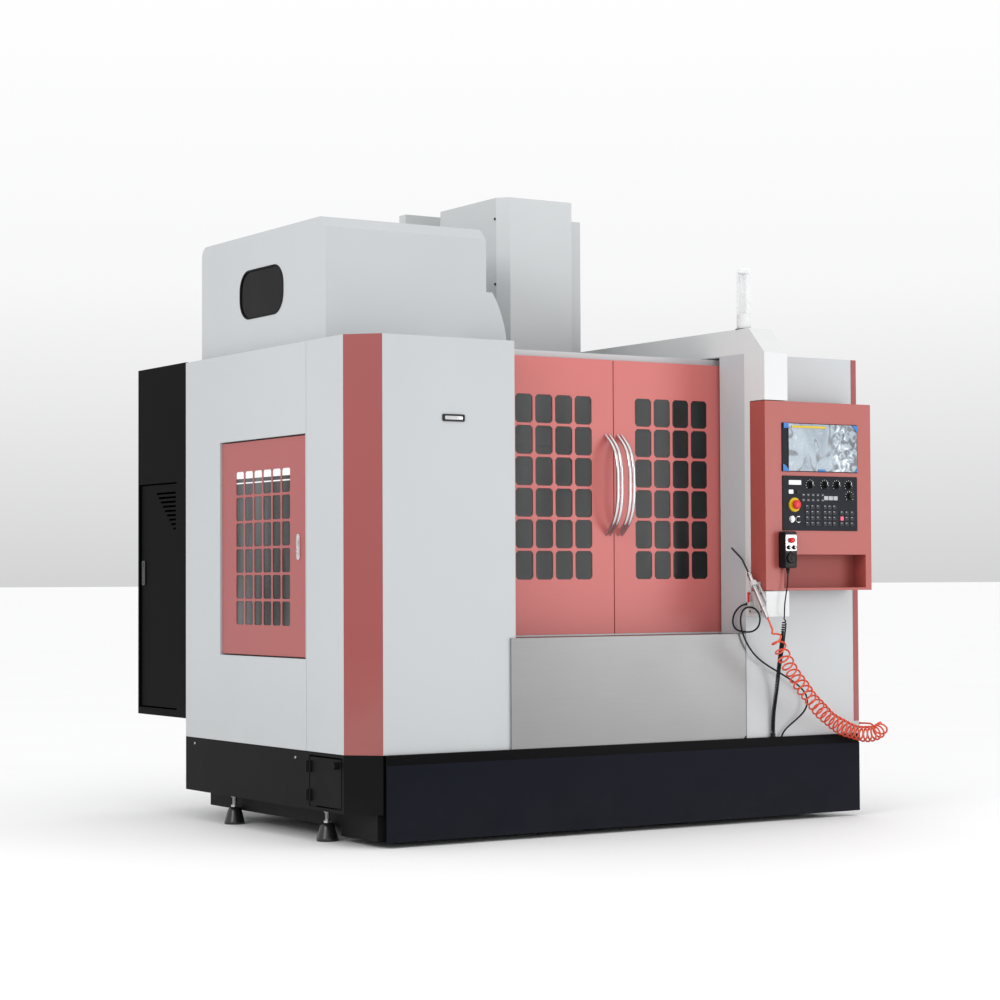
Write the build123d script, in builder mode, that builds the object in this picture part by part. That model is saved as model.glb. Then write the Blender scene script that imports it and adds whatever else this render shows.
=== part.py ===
from build123d import *
from math import radians, tan
import os

# Vertical machining centre. Millimetres, X to the right, Y to the back, Z up from the floor.

# Fits shared by all pieces
sheet = 3
running_gap = 0.3
shaft_gap = 0.06
cut_overrun = 10

# Enclosure
enclosure_width = 2520
enclosure_depth = 1559
enclosure_top = 2005
front_y = -940
base_top = 360
left_chamfer = 113
post_depth = 32
strip_width = 28
strip_depth = 60
strip_round = 22
strip_bottom = 445
centre_x = 80

# Base
base_bottom = 23
base_proud = 20
lip_depth = 45
band_height = 39
band_recess = 4
skirt_bottom = 129
right_inset = 15
tank_inset = 100
tank_top = 340
tank_rear_margin = 40
plinth_bottom = 58
plinth_step_y = -622
beam_width = 80
beam_height = 70
foot_rows_y = (-555, 285)
foot_inset = 74
bell_radius = 45
bell_height = 52
bell_neck_radius = 17
rod_radius = 10
nut_radius = 17
nut_height = 14

# Skirt access door
hatch_rear_y = -540
hatch_front_y = -812
hatch_margin = 14
hinge_radius = 8
hinge_length = 46
hinge_shares = (0.22, 0.78)
knob_radius = 15
knob_height = 22

# Bed, column and guide rails
bed_bottom = skirt_bottom
bed_half_width = 430
bed_shoulder = 480
bed_top = 560
bed_top_half_width = 400
bed_front_y = -760
bed_rear_y = 1000
bed_foot_half_spread = 300
bed_foot_margin = 130
rail_width = 45
rail_height = 50
y_rail_half_spread = 280
y_rail_front_y = -700
y_rail_rear_y = 500
column_front_y = 560
column_base_half_width = 380
column_half_width = 320
column_waist = 1100
column_top = 2430
z_rail_half_spread = 190
z_rail_bottom = 1080
z_rail_top = 2300
column_cover_half_width = 250
column_cover_depth = 60
column_cover_top = 2740

# Saddle and table
saddle_half_width = 400
saddle_half_depth = 260
saddle_clear = 20
saddle_top = 690
x_rail_half_spread = 170
table_length = 1000
table_width = 500
table_top = 900
table_thickness = 95
table_clear = 15
runner_width = 100
slot_count = 5
slot_pitch_share = 0.2
slot_width = 18
slot_depth = 34
slot_foot_width = 32
slot_foot_height = 14

# Head, spindle and their covers
spindle_y = 0
nose_half_width = 150
nose_front_y = -150
nose_bottom = 1640
nose_height = 460
nose_rise = 150
nose_slope_y = 300
slide_half_width = 250
slide_front_y = 455
slide_clear = 15
housing_radius = 90
housing_bottom = 1575
spindle_bottom = 1555
spindle_nose_radius = 62
spindle_shaft_radius = 50
spindle_top = 1880
taper_mouth_radius = 22.2
taper_inner_radius = 13
taper_depth = 65
drive_key_width = 16
drive_key_height = 8
cover_half_width = 186
cover_front_y = -171
cover_rear_y = 354
cover_bottom = 1750
cover_top = 2730
cover_chamfer = 45
cover_flange = 15
side_cover_width = 81
side_cover_front_y = -120
side_cover_rear_y = 300
side_cover_top = 2655

# Tool magazine and change arm
arm_x = -250
magazine_z = 2010
bracket_thickness = 40
bracket_front_y = -130
bracket_rear_y = 800
bracket_bottom = 1700
bracket_top = 2120
gearbox_width = 160
gearbox_bottom = 1560
hub_radius = 55
hub_length = 250
disc_radius = 400
disc_thickness = 24
disc_end_gap = 12
pot_count = 24
pot_circle_radius = 372
pot_radius = 36
pot_length = 135
holder_radius = 26
holder_length = 16
arm_bottom = 1490
arm_thickness = 35
arm_boss_radius = 62
arm_width = 62
arm_reach = 330
grip_radius = 52
grip_bore_radius = 33
arm_shaft_radius = 30
magazine_left_x = -1193
magazine_right_x = -430
magazine_front_y = -561
magazine_rear_y = 595
magazine_top = 2515
magazine_chamfer = 46
magazine_round = 48
window_width = 402
window_height = 204
window_corner = 84
window_z = 2260
window_y = 12
window_lap = 14
wing_width = 102
wing_height = 242
wing_top_width = 30
wing_belly_share = 0.8
wing_belly_height = 130
hub_notch_margin = 15

# Front doors
jamb_left_x = -534
jamb_right_x = 635
jamb_left_return = 60
jamb_right_return = 172
door_front_y = -755
door_width = 632
door_bottom = 812
door_top = 1968
door_depth = 28
seam_gap = 4
grid_columns = 4
grid_rows = 6
pane_width = 83
pane_height = 117
grid_pitch_x = 98.7
grid_pitch_z = 130
grid_margin = 113
grid_bottom = 1042
pane_chamfer = 11
glass = 5
glass_lap = 22
handle_bottom = 1223
handle_top = 1656
handle_reach = 108
handle_slope_height = 100
handle_bend = 90
handle_radius = 7
handle_near = 21
handle_pitch = 20
handle_foot_radius = 10
handle_foot_depth = 16
sill_bottom = 790
sill_rear_y = -718
header_front_y = -720
header_rear_y = -700
header_bottom = 1900
header_top = 1996

# Apron
apron_left_x = -562
apron_right_x = 627
apron_top = 806
apron_proud = 8
apron_nip = 14

# Left side door
side_door_front_y = -510
side_door_rear_y = 275
side_door_bottom = 726
side_door_top = 1633
frame_depth = 45
leaf_gap = 6
leaf_recess = 8
leaf_depth = 24
pin_radius = 6
pin_inset = 13
pin_depth = 16
pin_boss_width = 30
side_columns = 6
side_rows = 6
side_pane_width = 70
side_pane_height = 95
side_pitch_y = 84.5
side_pitch_z = 109.2
side_grid_front_y = -360
side_grid_bottom = 859
side_pane_chamfer = 13

# Electrical cabinet
cabinet_right_x = -400
cabinet_depth = 514
cabinet_bottom = 438
cabinet_top = 2008
cabinet_door_front_y = 716
cabinet_door_rear_y = 1120
cabinet_door_bottom = 470
cabinet_door_top = 1482
louvre_rows = 9
louvre_pitch = 20
louvre_height = 9
louvre_length = 205
louvre_short_share = 0.12
louvre_top = 1436
louvre_front_y = 742
plate_margin = 60
plate_thickness = 4
module_depth = 150
module_height = 260
module_gap = 60
module_count = 4

# Console
column_right_x = 760
console_front_y = -1080
console_rear_y = -977
console_right_x = 1220
console_bottom = 990
console_top = 1797
console_clear = 3
bracket_drop = 108
hood_shoulder = 2003
hood_top = 2115
hood_slope_y = -974
cable_beam_rear_y = 450
shelf_left_x = 733
shelf_right_x = 1187
shelf_bottom = 1001
shelf_top = 1143
shelf_depth = 84
display_left_x = 725
display_right_x = 1142
display_bottom = 1498
display_top = 1705
display_proud = 4
display_depth = 42
panel_left_x = 726
panel_right_x = 1139
panel_bottom = 1246
panel_top = 1479
panel_proud = 4
panel_thickness = 14
screen_frame = 16
screen_recess = 2
key_strip_share = 0.3
collar_radius = 30
collar_height = 6
estop_shares = (0.15, 0.47)
estop_radius = 20
estop_length = 18
estop_travel = 4
estop_stem_radius = 9
button_shares = ((0.119, 0.206), (0.203, 0.202))
button_radius = 11
button_proud = 9
button_travel = 4
knob_x_shares = (0.361, 0.557, 0.719, 0.881)
knob_z_share = 0.84
dial_radius = 14
dial_length = 20
dial_skirt_radius = 17
dial_skirt_height = 5
dial_stem_radius = 3
dial_flat_width = 9

# Hand pendant
pendant_left_x = 703
pendant_right_x = 768
pendant_bottom = 1085
pendant_top = 1241
pendant_depth = 45
pendant_round = 10
wheel_radius = 25
wheel_thickness = 12
wheel_z_share = 0.27
wheel_stem_radius = 5
gland_radius = 8
gland_length = 10

# Signal lamp
lamp_x = 668
lamp_y = -900
lamp_base_width = 62
lamp_base_height = 98
lamp_tube_radius = 25
lamp_tube_height = 176
lamp_wall = 3

# Air gun, its holder and the hose fitting
gun_x = 600
gun_neck = (-1015, 1054)
gun_tail = (-1133, 875)
gun_elbow = (-961, 1125)
gun_tip = (-890, 1173)
gun_radius = 10
gun_tail_radius = 8
gun_tail_length = 40
nozzle_radius = 4
nozzle_bend = 40
lever_length = 90
lever_width = 9
lever_lift = 20
lever_thickness = 4
holder_share = 0.2
holder_ring_radius = 17
holder_ring_length = 22
holder_plate_front_y = -1062
holder_plate_rear_y = -962
holder_plate_bottom = 893
valve_y = -990
valve_z = 933
valve_size = 20
fitting_y = -870
fitting_z = 400
fitting_reach = 40
fitting_radius = 12
fitting_flange_radius = 22
fitting_flange = 6
nipple_radius = 9
nipple_length = 26

# Cords, laid by hand: each route is a list of points
hose_coil_diameter = 64
hose_coil_route = [
    (gun_x, *gun_tail),
    (600, -1156.6, 839.2),
    (630, -1162, 774),
    (690, -1138, 694),
    (764, -1112, 622),
    (845, -1086, 552),
    (925, -1062, 488),
    (1012, -1040, 430),
    (1112, -1022, 384),
    (1216, -1008, 356),
    (1276, -1000, 362),
    (1305, -975, 380),
    (1300, -935, 400),
    (1300, -896, 400),
]
lead_diameter = 8
pendant_lead_route = [
    (735.5, -1102.5, 1075),
    (735.5, -1102.5, 1032),
    (724, -1106, 985),
    (713, -1108, 940),
    (713, -1104, 900),
    (720, -1096, 861),
]
curl_diameter = 30
pendant_curl_route = [
    (720, -1096, 861),
    (728, -1078, 810),
    (743, -1048, 756),
    (758, -1018, 704),
    (768, -994, 650),
]
tail_diameter = 20
pendant_tail_route = [
    (768, -994, 650),
    (774, -978, 598),
    (774, -964, 530),
    (768, -952, 446),
    (768, -952, base_top),
]
tube_diameter = 8
air_tube_route = [
    (622, valve_y + valve_size / 2, valve_z),
    (622, -945, 933),
    (618, -911, 917),
    (614, -884, 890),
    (612, -875, 852),
    (612, -896, 824),
    (612, -936, 816),
    (613, -980, 813),
    (614, -1022, 818),
    (615, -1056, 840),
    (613, -1068, 878),
    (606, -1052, 911),
    (592, -1018, 924),
    (583, -982, 908),
    (586, -962, 864),
    (598, -962, 810),
    (622, -967, 758),
    (664, -967, 710),
    (720, -965, 674),
    (782, -966, 643),
    (842, -968, 612),
    (897, -969, 580),
    (938, -970, 542),
    (946, -968, 496),
    (916, -965, 462),
    (866, -961, 438),
    (812, -955, 414),
    (812, -955, base_top),
]

# Places worked out from the sizes above
left_x = -enclosure_width / 2
right_x = enclosure_width / 2
rear_y = front_y + enclosure_depth
post_right_x = left_x + left_chamfer
side_front_y = front_y + left_chamfer
strip_left_x = right_x - strip_width
skirt_right_x = right_x - right_inset
cover_front_face_y = front_y - base_proud
cover_left_end_x = post_right_x + sheet
skirt_front_y = cover_front_face_y + lip_depth
rail_half = rail_width / 2
nose_front_top = nose_bottom + nose_height
nose_top = nose_front_top + nose_rise
y_rail_top = bed_top + rail_height
x_rail_top = saddle_top + rail_height
z_rail_front_y = column_front_y - rail_height
door_rear_y = door_front_y + door_depth
console_front_face_y = console_front_y
panel_face_y = console_front_y - panel_proud
panel_width = panel_right_x - panel_left_x
panel_height = panel_top - panel_bottom
pendant_front_y = console_front_y - pendant_depth
leaf_face_x = left_x + leaf_recess


def block(x, y, z, mode=Mode.ADD):
    """A rectangular solid between pairs of X, Y and Z limits."""
    low_x, high_x = sorted(x)
    low_y, high_y = sorted(y)
    low_z, high_z = sorted(z)
    with Locations(((low_x + high_x) / 2, (low_y + high_y) / 2, (low_z + high_z) / 2)):
        Box(high_x - low_x, high_y - low_y, high_z - low_z, mode=mode)


def folded(points, thickness):
    """The outline of a sheet folded along points, its thickness to the left of the path."""
    path = [Vector(*p) for p in points]
    steps = [(b - a).normalized() for a, b in zip(path, path[1:])]
    sides = [Vector(-d.Y, d.X) for d in steps]
    inner = [path[0] + sides[0] * thickness]
    for corner, before, after in zip(path[1:], sides, sides[1:]):
        mitre = (before + after).normalized()
        inner.append(corner + mitre * (thickness / mitre.dot(after)))
    inner.append(path[-1] + sides[-1] * thickness)
    return [(p.X, p.Y) for p in path + inner[::-1]]


def save(part, name):
    """Names a finished piece and writes it to its own file."""
    part.label = name
    export_step(part, f"parts/{name}.step")


os.makedirs("parts", exist_ok=True)

# Bed casting with the two Y guide rails
with BuildPart() as bed:
    with BuildSketch(Plane.XZ.offset(-bed_rear_y)):
        Polygon([
            (centre_x - bed_half_width, bed_bottom),
            (centre_x + bed_half_width, bed_bottom),
            (centre_x + bed_half_width, bed_shoulder),
            (centre_x + bed_top_half_width, bed_top),
            (centre_x - bed_top_half_width, bed_top),
            (centre_x - bed_half_width, bed_shoulder),
        ])
    extrude(amount=bed_rear_y - bed_front_y)
    for side in (-1, 1):
        rail_x = centre_x + side * y_rail_half_spread
        block((rail_x - rail_half, rail_x + rail_half), (y_rail_front_y, y_rail_rear_y), (bed_top, y_rail_top))
save(bed.part, "bed")

# Column casting with the two Z guide rails on its front
with BuildPart() as column:
    with BuildSketch(Plane.XZ.offset(-bed_rear_y)):
        Polygon([
            (centre_x - column_base_half_width, bed_top),
            (centre_x + column_base_half_width, bed_top),
            (centre_x + column_half_width, column_waist),
            (centre_x + column_half_width, column_top),
            (centre_x - column_half_width, column_top),
            (centre_x - column_half_width, column_waist),
        ])
    extrude(amount=bed_rear_y - column_front_y)
    for side in (-1, 1):
        rail_x = centre_x + side * z_rail_half_spread
        block((rail_x - rail_half, rail_x + rail_half), (z_rail_front_y, column_front_y), (z_rail_bottom, z_rail_top))
save(column.part, "column")

# Folded guard standing on top of the column
with BuildPart() as column_cover:
    cover_x = (centre_x - column_cover_half_width, centre_x + column_cover_half_width)
    cover_y = (column_front_y, column_front_y + column_cover_depth)
    block(cover_x, cover_y, (column_top, column_cover_top))
    block(
        (cover_x[0] + sheet, cover_x[1] - sheet),
        (cover_y[0] + sheet, cover_y[1] - sheet),
        (column_top - cut_overrun, column_cover_top - sheet),
        Mode.SUBTRACT,
    )
save(column_cover.part, "column_cover")

# Coolant tank around the bed, with cross beams out to the levelling feet
with BuildPart() as coolant_tank:
    tank_x = (left_x + tank_inset, skirt_right_x - tank_inset)
    tank_y = (skirt_front_y, rear_y - tank_rear_margin)
    block(tank_x, tank_y, (plinth_bottom, tank_top))
    block(tank_x, (tank_y[0], plinth_step_y), (base_bottom, plinth_bottom))
    for beam_y in foot_rows_y:
        block(
            (left_x + sheet + running_gap, skirt_right_x - sheet - running_gap),
            (beam_y - beam_width / 2, beam_y + beam_width / 2),
            (skirt_bottom, skirt_bottom + beam_height),
        )
    block(
        (centre_x - bed_half_width, centre_x + bed_half_width),
        (bed_front_y, tank_y[1] + cut_overrun),
        (base_bottom - cut_overrun, tank_top + cut_overrun),
        Mode.SUBTRACT,
    )
save(coolant_tank.part, "coolant_tank")

# Levelling feet: bell, threaded rod and lock nut
foot_places = [(x, y) for x in (left_x + foot_inset, skirt_right_x - foot_inset) for y in foot_rows_y]
foot_places += [
    (centre_x + side * bed_foot_half_spread, y)
    for side in (-1, 1)
    for y in (bed_front_y + bed_foot_margin, bed_rear_y - bed_foot_margin)
]
with BuildPart() as levelling_feet:
    with BuildSketch(Plane.XZ):
        Polygon([
            (0, 0),
            (bell_radius, 0),
            (bell_radius, nut_height),
            (bell_neck_radius, bell_height),
            (rod_radius, bell_height),
            (rod_radius, skirt_bottom - nut_height),
            (nut_radius, skirt_bottom - nut_height),
            (nut_radius, skirt_bottom),
            (0, skirt_bottom),
        ])
    one_foot = revolve(axis=Axis.Z, mode=Mode.PRIVATE)
    for place in foot_places:
        add(one_foot.moved(Location((*place, 0))))
save(levelling_feet.part, "levelling_feet")

# Folded front cover of the base, with its top lip
with BuildPart() as base_front_cover:
    with BuildSketch(Plane.YZ.offset(cover_left_end_x)):
        Polygon(folded([
            (skirt_front_y, base_top),
            (cover_front_face_y + band_recess, base_top),
            (cover_front_face_y + band_recess, base_top - band_height),
            (cover_front_face_y, base_top - band_height),
            (cover_front_face_y, base_bottom),
            (skirt_front_y, base_bottom),
        ], sheet))
    extrude(amount=skirt_right_x - cover_left_end_x)
save(base_front_cover.part, "base_front_cover")

# Side skirts: the left one turns the front corner and has the hatch opening
with BuildPart() as side_skirts:
    with BuildSketch(Plane.XY.offset(skirt_bottom)):
        Polygon(folded([
            (left_x, rear_y),
            (left_x, side_front_y),
            (post_right_x, front_y),
        ], sheet))
    extrude(amount=base_top - skirt_bottom)
    block(
        (left_x - cut_overrun, left_x + sheet + cut_overrun),
        (hatch_front_y, hatch_rear_y),
        (skirt_bottom + hatch_margin, base_top - hatch_margin),
        Mode.SUBTRACT,
    )
    block((skirt_right_x - sheet, skirt_right_x), (skirt_front_y, rear_y), (skirt_bottom, base_top))
save(side_skirts.part, "side_skirts")

# Hatch in the left skirt, with two hinge barrels and a knob
hatch_height = base_top - skirt_bottom - 2 * hatch_margin
with BuildPart() as skirt_door:
    block(
        (left_x, left_x + sheet),
        (hatch_front_y + leaf_gap, hatch_rear_y - leaf_gap),
        (skirt_bottom + hatch_margin + leaf_gap, base_top - hatch_margin - leaf_gap),
    )
    for share in hinge_shares:
        hinge_z = skirt_bottom + hatch_margin + share * hatch_height
        with Locations((left_x - hinge_radius - running_gap, hatch_rear_y, hinge_z)):
            Cylinder(hinge_radius, hinge_length)
        block(
            (left_x - hinge_radius - running_gap, left_x),
            (hatch_rear_y - 2 * hinge_radius - leaf_gap, hatch_rear_y),
            (hinge_z - hinge_length / 2, hinge_z + hinge_length / 2),
        )
    knob_y = hatch_front_y + 2 * knob_radius + leaf_gap
    knob_z = base_top - hatch_margin - 2 * knob_radius
    with BuildSketch(Plane.YZ.offset(left_x - knob_height)):
        with Locations((knob_y, knob_z)):
            Circle(knob_radius)
    extrude(amount=knob_height)
save(skirt_door.part, "skirt_door")

# Front panels: plain left one with a return, right one with the deep jamb
with BuildPart() as front_panels:
    with BuildSketch(Plane.XY.offset(base_top)):
        Polygon(folded([
            (post_right_x, front_y),
            (jamb_left_x, front_y),
            (jamb_left_x, front_y + jamb_left_return),
        ], sheet))
        Polygon(folded([
            (jamb_right_x, front_y + jamb_right_return),
            (jamb_right_x, front_y),
            (strip_left_x, front_y),
        ], sheet))
    extrude(amount=enclosure_top - base_top)
save(front_panels.part, "front_panels")

# Corner posts: wide 45 degree post at the left, narrow rounded strip at the right
with BuildPart() as corner_posts:
    with BuildSketch(Plane.XY.offset(base_top)):
        Polygon([
            (left_x, side_front_y),
            (post_right_x, front_y),
            (post_right_x, front_y + post_depth),
            (left_x + post_depth, side_front_y),
        ])
    extrude(amount=enclosure_top - base_top)
    with BuildSketch(Plane.XY.offset(strip_bottom)):
        with BuildLine():
            FilletPolyline(
                (strip_left_x, front_y + strip_depth),
                (strip_left_x, front_y),
                (right_x, front_y),
                (right_x, front_y + strip_depth),
                radius=[0, strip_round],
            )
            Line((right_x, front_y + strip_depth), (strip_left_x, front_y + strip_depth))
        make_face()
    extrude(amount=enclosure_top - strip_bottom)
save(corner_posts.part, "corner_posts")

# Left side panel with the framed opening for the side door
opening_y = (side_door_front_y, side_door_rear_y)
opening_z = (side_door_bottom, side_door_top)
pin_y = side_door_rear_y - leaf_gap - pin_inset
pin_x = leaf_face_x + leaf_depth / 2
with BuildPart() as left_side_panel:
    block((left_x, left_x + sheet), (side_front_y, rear_y), (base_top, enclosure_top))
    block(
        (left_x, left_x + frame_depth),
        (opening_y[0] - sheet, opening_y[1] + sheet),
        (opening_z[0] - sheet, opening_z[1] + sheet),
    )
    block((left_x - cut_overrun, left_x + frame_depth + cut_overrun), opening_y, opening_z, Mode.SUBTRACT)
    with Locations((pin_x, pin_y, (opening_z[0] + opening_z[1]) / 2)):
        Cylinder(pin_radius + running_gap, opening_z[1] - opening_z[0] + 2 * cut_overrun, mode=Mode.SUBTRACT)
save(left_side_panel.part, "left_side_panel")

# Plain right side panel, with the corner block below the red strip
with BuildPart() as right_side_panel:
    block((right_x - sheet, right_x), (front_y + strip_depth, rear_y), (base_top, enclosure_top))
    block((strip_left_x, right_x), (front_y, front_y + strip_depth), (base_top, strip_bottom))
save(right_side_panel.part, "right_side_panel")

# Roof sheets and rear panels: the left roof is open under the tool magazine
with BuildPart() as roof_and_rear:
    with BuildSketch(Plane.XY.offset(enclosure_top - sheet)):
        Polygon([
            (left_x + sheet, side_front_y),
            (left_x + post_depth, side_front_y),
            (post_right_x, front_y + post_depth),
            (post_right_x, front_y + sheet),
            (jamb_left_x - sheet, front_y + sheet),
            (jamb_left_x - sheet, magazine_front_y + sheet),
            (magazine_left_x + sheet, magazine_front_y + sheet),
            (magazine_left_x + sheet, rear_y - sheet),
            (left_x + sheet, rear_y - sheet),
        ])
        Polygon([
            (jamb_right_x + sheet, front_y + sheet),
            (strip_left_x, front_y + sheet),
            (strip_left_x, front_y + strip_depth),
            (right_x - sheet, front_y + strip_depth),
            (right_x - sheet, rear_y - sheet),
            (jamb_right_x + sheet, rear_y - sheet),
        ])
    extrude(amount=sheet)
    rear_gap = bed_half_width + 2 * sheet
    for wall_x in ((left_x + sheet, centre_x - rear_gap), (centre_x + rear_gap, right_x - sheet)):
        block(wall_x, (rear_y - sheet, rear_y), (base_top, enclosure_top))
save(roof_and_rear.part, "roof_and_rear")

# Sill and header that the front doors slide on
with BuildPart() as door_tracks:
    track_x = (left_x + sheet, right_x - sheet)
    block(track_x, (door_front_y - sheet, sill_rear_y), (sill_bottom, door_bottom - running_gap))
    block(track_x, (header_front_y, header_rear_y), (header_bottom, header_top))
save(door_tracks.part, "door_tracks")

# Stainless apron below the doors, folded back to the sill
with BuildPart() as apron:
    apron_face_y = front_y - apron_proud
    with BuildSketch(Plane.YZ.offset(apron_left_x)):
        Polygon(folded([
            (door_front_y - sheet, apron_top),
            (apron_face_y, apron_top),
            (apron_face_y, base_top),
        ], sheet))
    extrude(amount=apron_right_x - apron_left_x)
    block(
        (apron_left_x - cut_overrun, jamb_left_x + running_gap),
        (front_y - running_gap, front_y + jamb_left_return + running_gap),
        (apron_top - sheet - cut_overrun, apron_top + cut_overrun),
        Mode.SUBTRACT,
    )
    nipped = apron.edges().filter_by(Axis.Y).sort_by(Axis.Z)[0:2].sort_by(Axis.X)[-1]
    chamfer(nipped, apron_nip)
save(apron.part, "apron")

# Sloping chip pans from the side walls down to the bed
pan_wall_z = side_door_bottom - 2 * cut_overrun
pan_bed_z = bed_shoulder - 4 * cut_overrun
with BuildPart() as chip_pans:
    with BuildSketch(Plane.XZ.offset(-column_front_y)):
        Polygon([
            (left_x + sheet, pan_wall_z),
            (left_x + sheet, pan_wall_z - sheet),
            (centre_x - bed_half_width, pan_bed_z - sheet),
            (centre_x - bed_half_width, pan_bed_z),
        ])
        Polygon([
            (right_x - sheet, pan_wall_z),
            (right_x - sheet, pan_wall_z - sheet),
            (centre_x + bed_half_width, pan_bed_z - sheet),
            (centre_x + bed_half_width, pan_bed_z),
        ])
    extrude(amount=column_front_y - header_rear_y)
save(chip_pans.part, "chip_pans")

# Saddle on the Y rails, with the two X guide rails on its top
with BuildPart() as saddle:
    with BuildSketch(Plane.XZ.offset(-saddle_half_depth)):
        Polygon([
            (centre_x - saddle_half_width, bed_top + saddle_clear),
            (centre_x + saddle_half_width, bed_top + saddle_clear),
            (centre_x + saddle_half_width, saddle_top),
            (centre_x - saddle_half_width, saddle_top),
        ])
    extrude(amount=2 * saddle_half_depth)
    for side in (-1, 1):
        rail_x = centre_x + side * y_rail_half_spread
        block(
            (rail_x - rail_half - running_gap, rail_x + rail_half + running_gap),
            (-saddle_half_depth - cut_overrun, saddle_half_depth + cut_overrun),
            (bed_top, y_rail_top + running_gap),
            Mode.SUBTRACT,
        )
        rail_y = side * x_rail_half_spread
        block(
            (centre_x - saddle_half_width, centre_x + saddle_half_width),
            (rail_y - rail_half, rail_y + rail_half),
            (saddle_top, x_rail_top),
        )
save(saddle.part, "saddle")

# Table: one section with runners below and T-slots above
with BuildPart() as table:
    with BuildSketch(Plane.YZ.offset(centre_x - table_length / 2)):
        with Locations((0, table_top - table_thickness / 2)):
            Rectangle(table_width, table_thickness)
        runner_bottom = saddle_top + table_clear
        runner_top = table_top - table_thickness
        for side in (-1, 1):
            with Locations((side * x_rail_half_spread, (runner_bottom + runner_top) / 2)):
                Rectangle(runner_width, runner_top - runner_bottom)
            channel_top = x_rail_top + running_gap
            with Locations((side * x_rail_half_spread, (runner_bottom + channel_top) / 2)):
                Rectangle(rail_width + 2 * running_gap, channel_top - runner_bottom, mode=Mode.SUBTRACT)
        slot_pitch = slot_pitch_share * table_width
        with Locations((0, table_top - slot_depth / 2)):
            with GridLocations(slot_pitch, slot_pitch, slot_count, 1):
                Rectangle(slot_width, slot_depth, mode=Mode.SUBTRACT)
        with Locations((0, table_top - slot_depth + slot_foot_height / 2)):
            with GridLocations(slot_pitch, slot_pitch, slot_count, 1):
                Rectangle(slot_foot_width, slot_foot_height, mode=Mode.SUBTRACT)
    extrude(amount=table_length)
save(table.part, "table")

# Head casting: slide on the Z rails, nose, spindle housing and the flange for its cover
with BuildPart() as head:
    with BuildSketch(Plane.YZ.offset(centre_x - nose_half_width)):
        Polygon([
            (nose_front_y, nose_bottom),
            (slide_front_y, nose_bottom),
            (slide_front_y, nose_top),
            (nose_slope_y, nose_top),
            (nose_front_y, nose_front_top),
        ])
    extrude(amount=2 * nose_half_width)
    slide_rear_y = column_front_y - slide_clear
    block(
        (centre_x - slide_half_width, centre_x + slide_half_width),
        (slide_front_y, slide_rear_y),
        (nose_bottom, nose_top),
    )
    for side in (-1, 1):
        rail_x = centre_x + side * z_rail_half_spread
        block(
            (rail_x - rail_half - running_gap, rail_x + rail_half + running_gap),
            (z_rail_front_y - running_gap, slide_rear_y + cut_overrun),
            (nose_bottom - cut_overrun, nose_top + cut_overrun),
            Mode.SUBTRACT,
        )
    block(
        (centre_x - cover_half_width + sheet, centre_x + cover_half_width - sheet),
        (cover_front_y + sheet, cover_rear_y),
        (cover_bottom, cover_bottom + cover_flange),
    )
    flange_corner = head.edges().filter_by(Axis.Z).group_by(Axis.Y)[0].sort_by(Axis.X)[0]
    chamfer(flange_corner, cover_chamfer)
    with BuildSketch(Plane.XY.offset(housing_bottom)):
        with Locations((centre_x, spindle_y)):
            Circle(housing_radius)
    extrude(amount=nose_bottom - housing_bottom)
    with BuildSketch(Plane.XY.offset(housing_bottom)):
        with Locations((centre_x, spindle_y)):
            Circle(spindle_shaft_radius + shaft_gap)
    extrude(amount=spindle_top + cut_overrun - housing_bottom, mode=Mode.SUBTRACT)
save(head.part, "head")

# Spindle with its tool taper and two drive keys
with BuildPart() as spindle:
    with BuildSketch(Plane.XZ):
        Polygon([
            (taper_mouth_radius, spindle_bottom),
            (spindle_nose_radius, spindle_bottom),
            (spindle_nose_radius, housing_bottom - running_gap),
            (spindle_shaft_radius, housing_bottom - running_gap),
            (spindle_shaft_radius, spindle_top),
            (0, spindle_top),
            (0, spindle_bottom + taper_depth),
            (taper_inner_radius, spindle_bottom + taper_depth),
        ])
    revolve(axis=Axis.Z)
    key_centre = (taper_mouth_radius + spindle_nose_radius) / 2
    for side in (-1, 1):
        block(
            (side * key_centre - drive_key_width / 2, side * key_centre + drive_key_width / 2),
            (-drive_key_width / 2, drive_key_width / 2),
            (spindle_bottom - drive_key_height, spindle_bottom),
        )
save(spindle.part.moved(Location((centre_x, spindle_y, 0))), "spindle")

# Head covers: tall folded cover and the narrow one at its right
with BuildPart() as head_covers:
    cover_left_x = centre_x - cover_half_width
    cover_right_x = centre_x + cover_half_width
    cover_corners = [
        (cover_left_x, cover_rear_y),
        (cover_left_x, cover_front_y + cover_chamfer),
        (cover_left_x + cover_chamfer, cover_front_y),
        (cover_right_x, cover_front_y),
        (cover_right_x, cover_rear_y),
    ]
    with BuildSketch(Plane.XY.offset(cover_bottom)):
        Polygon(folded(cover_corners, sheet))
    extrude(amount=cover_top - cover_bottom)
    with BuildSketch(Plane.XY.offset(cover_top - sheet)):
        Polygon(cover_corners)
    extrude(amount=sheet)
    side_x = (cover_right_x, cover_right_x + side_cover_width)
    side_y = (side_cover_front_y, side_cover_rear_y)
    block(side_x, side_y, (cover_bottom, side_cover_top))
    block(
        (side_x[0], side_x[1] - sheet),
        (side_y[0] + sheet, side_y[1] - sheet),
        (cover_bottom - cut_overrun, side_cover_top - sheet),
        Mode.SUBTRACT,
    )
save(head_covers.part, "head_covers")

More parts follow.
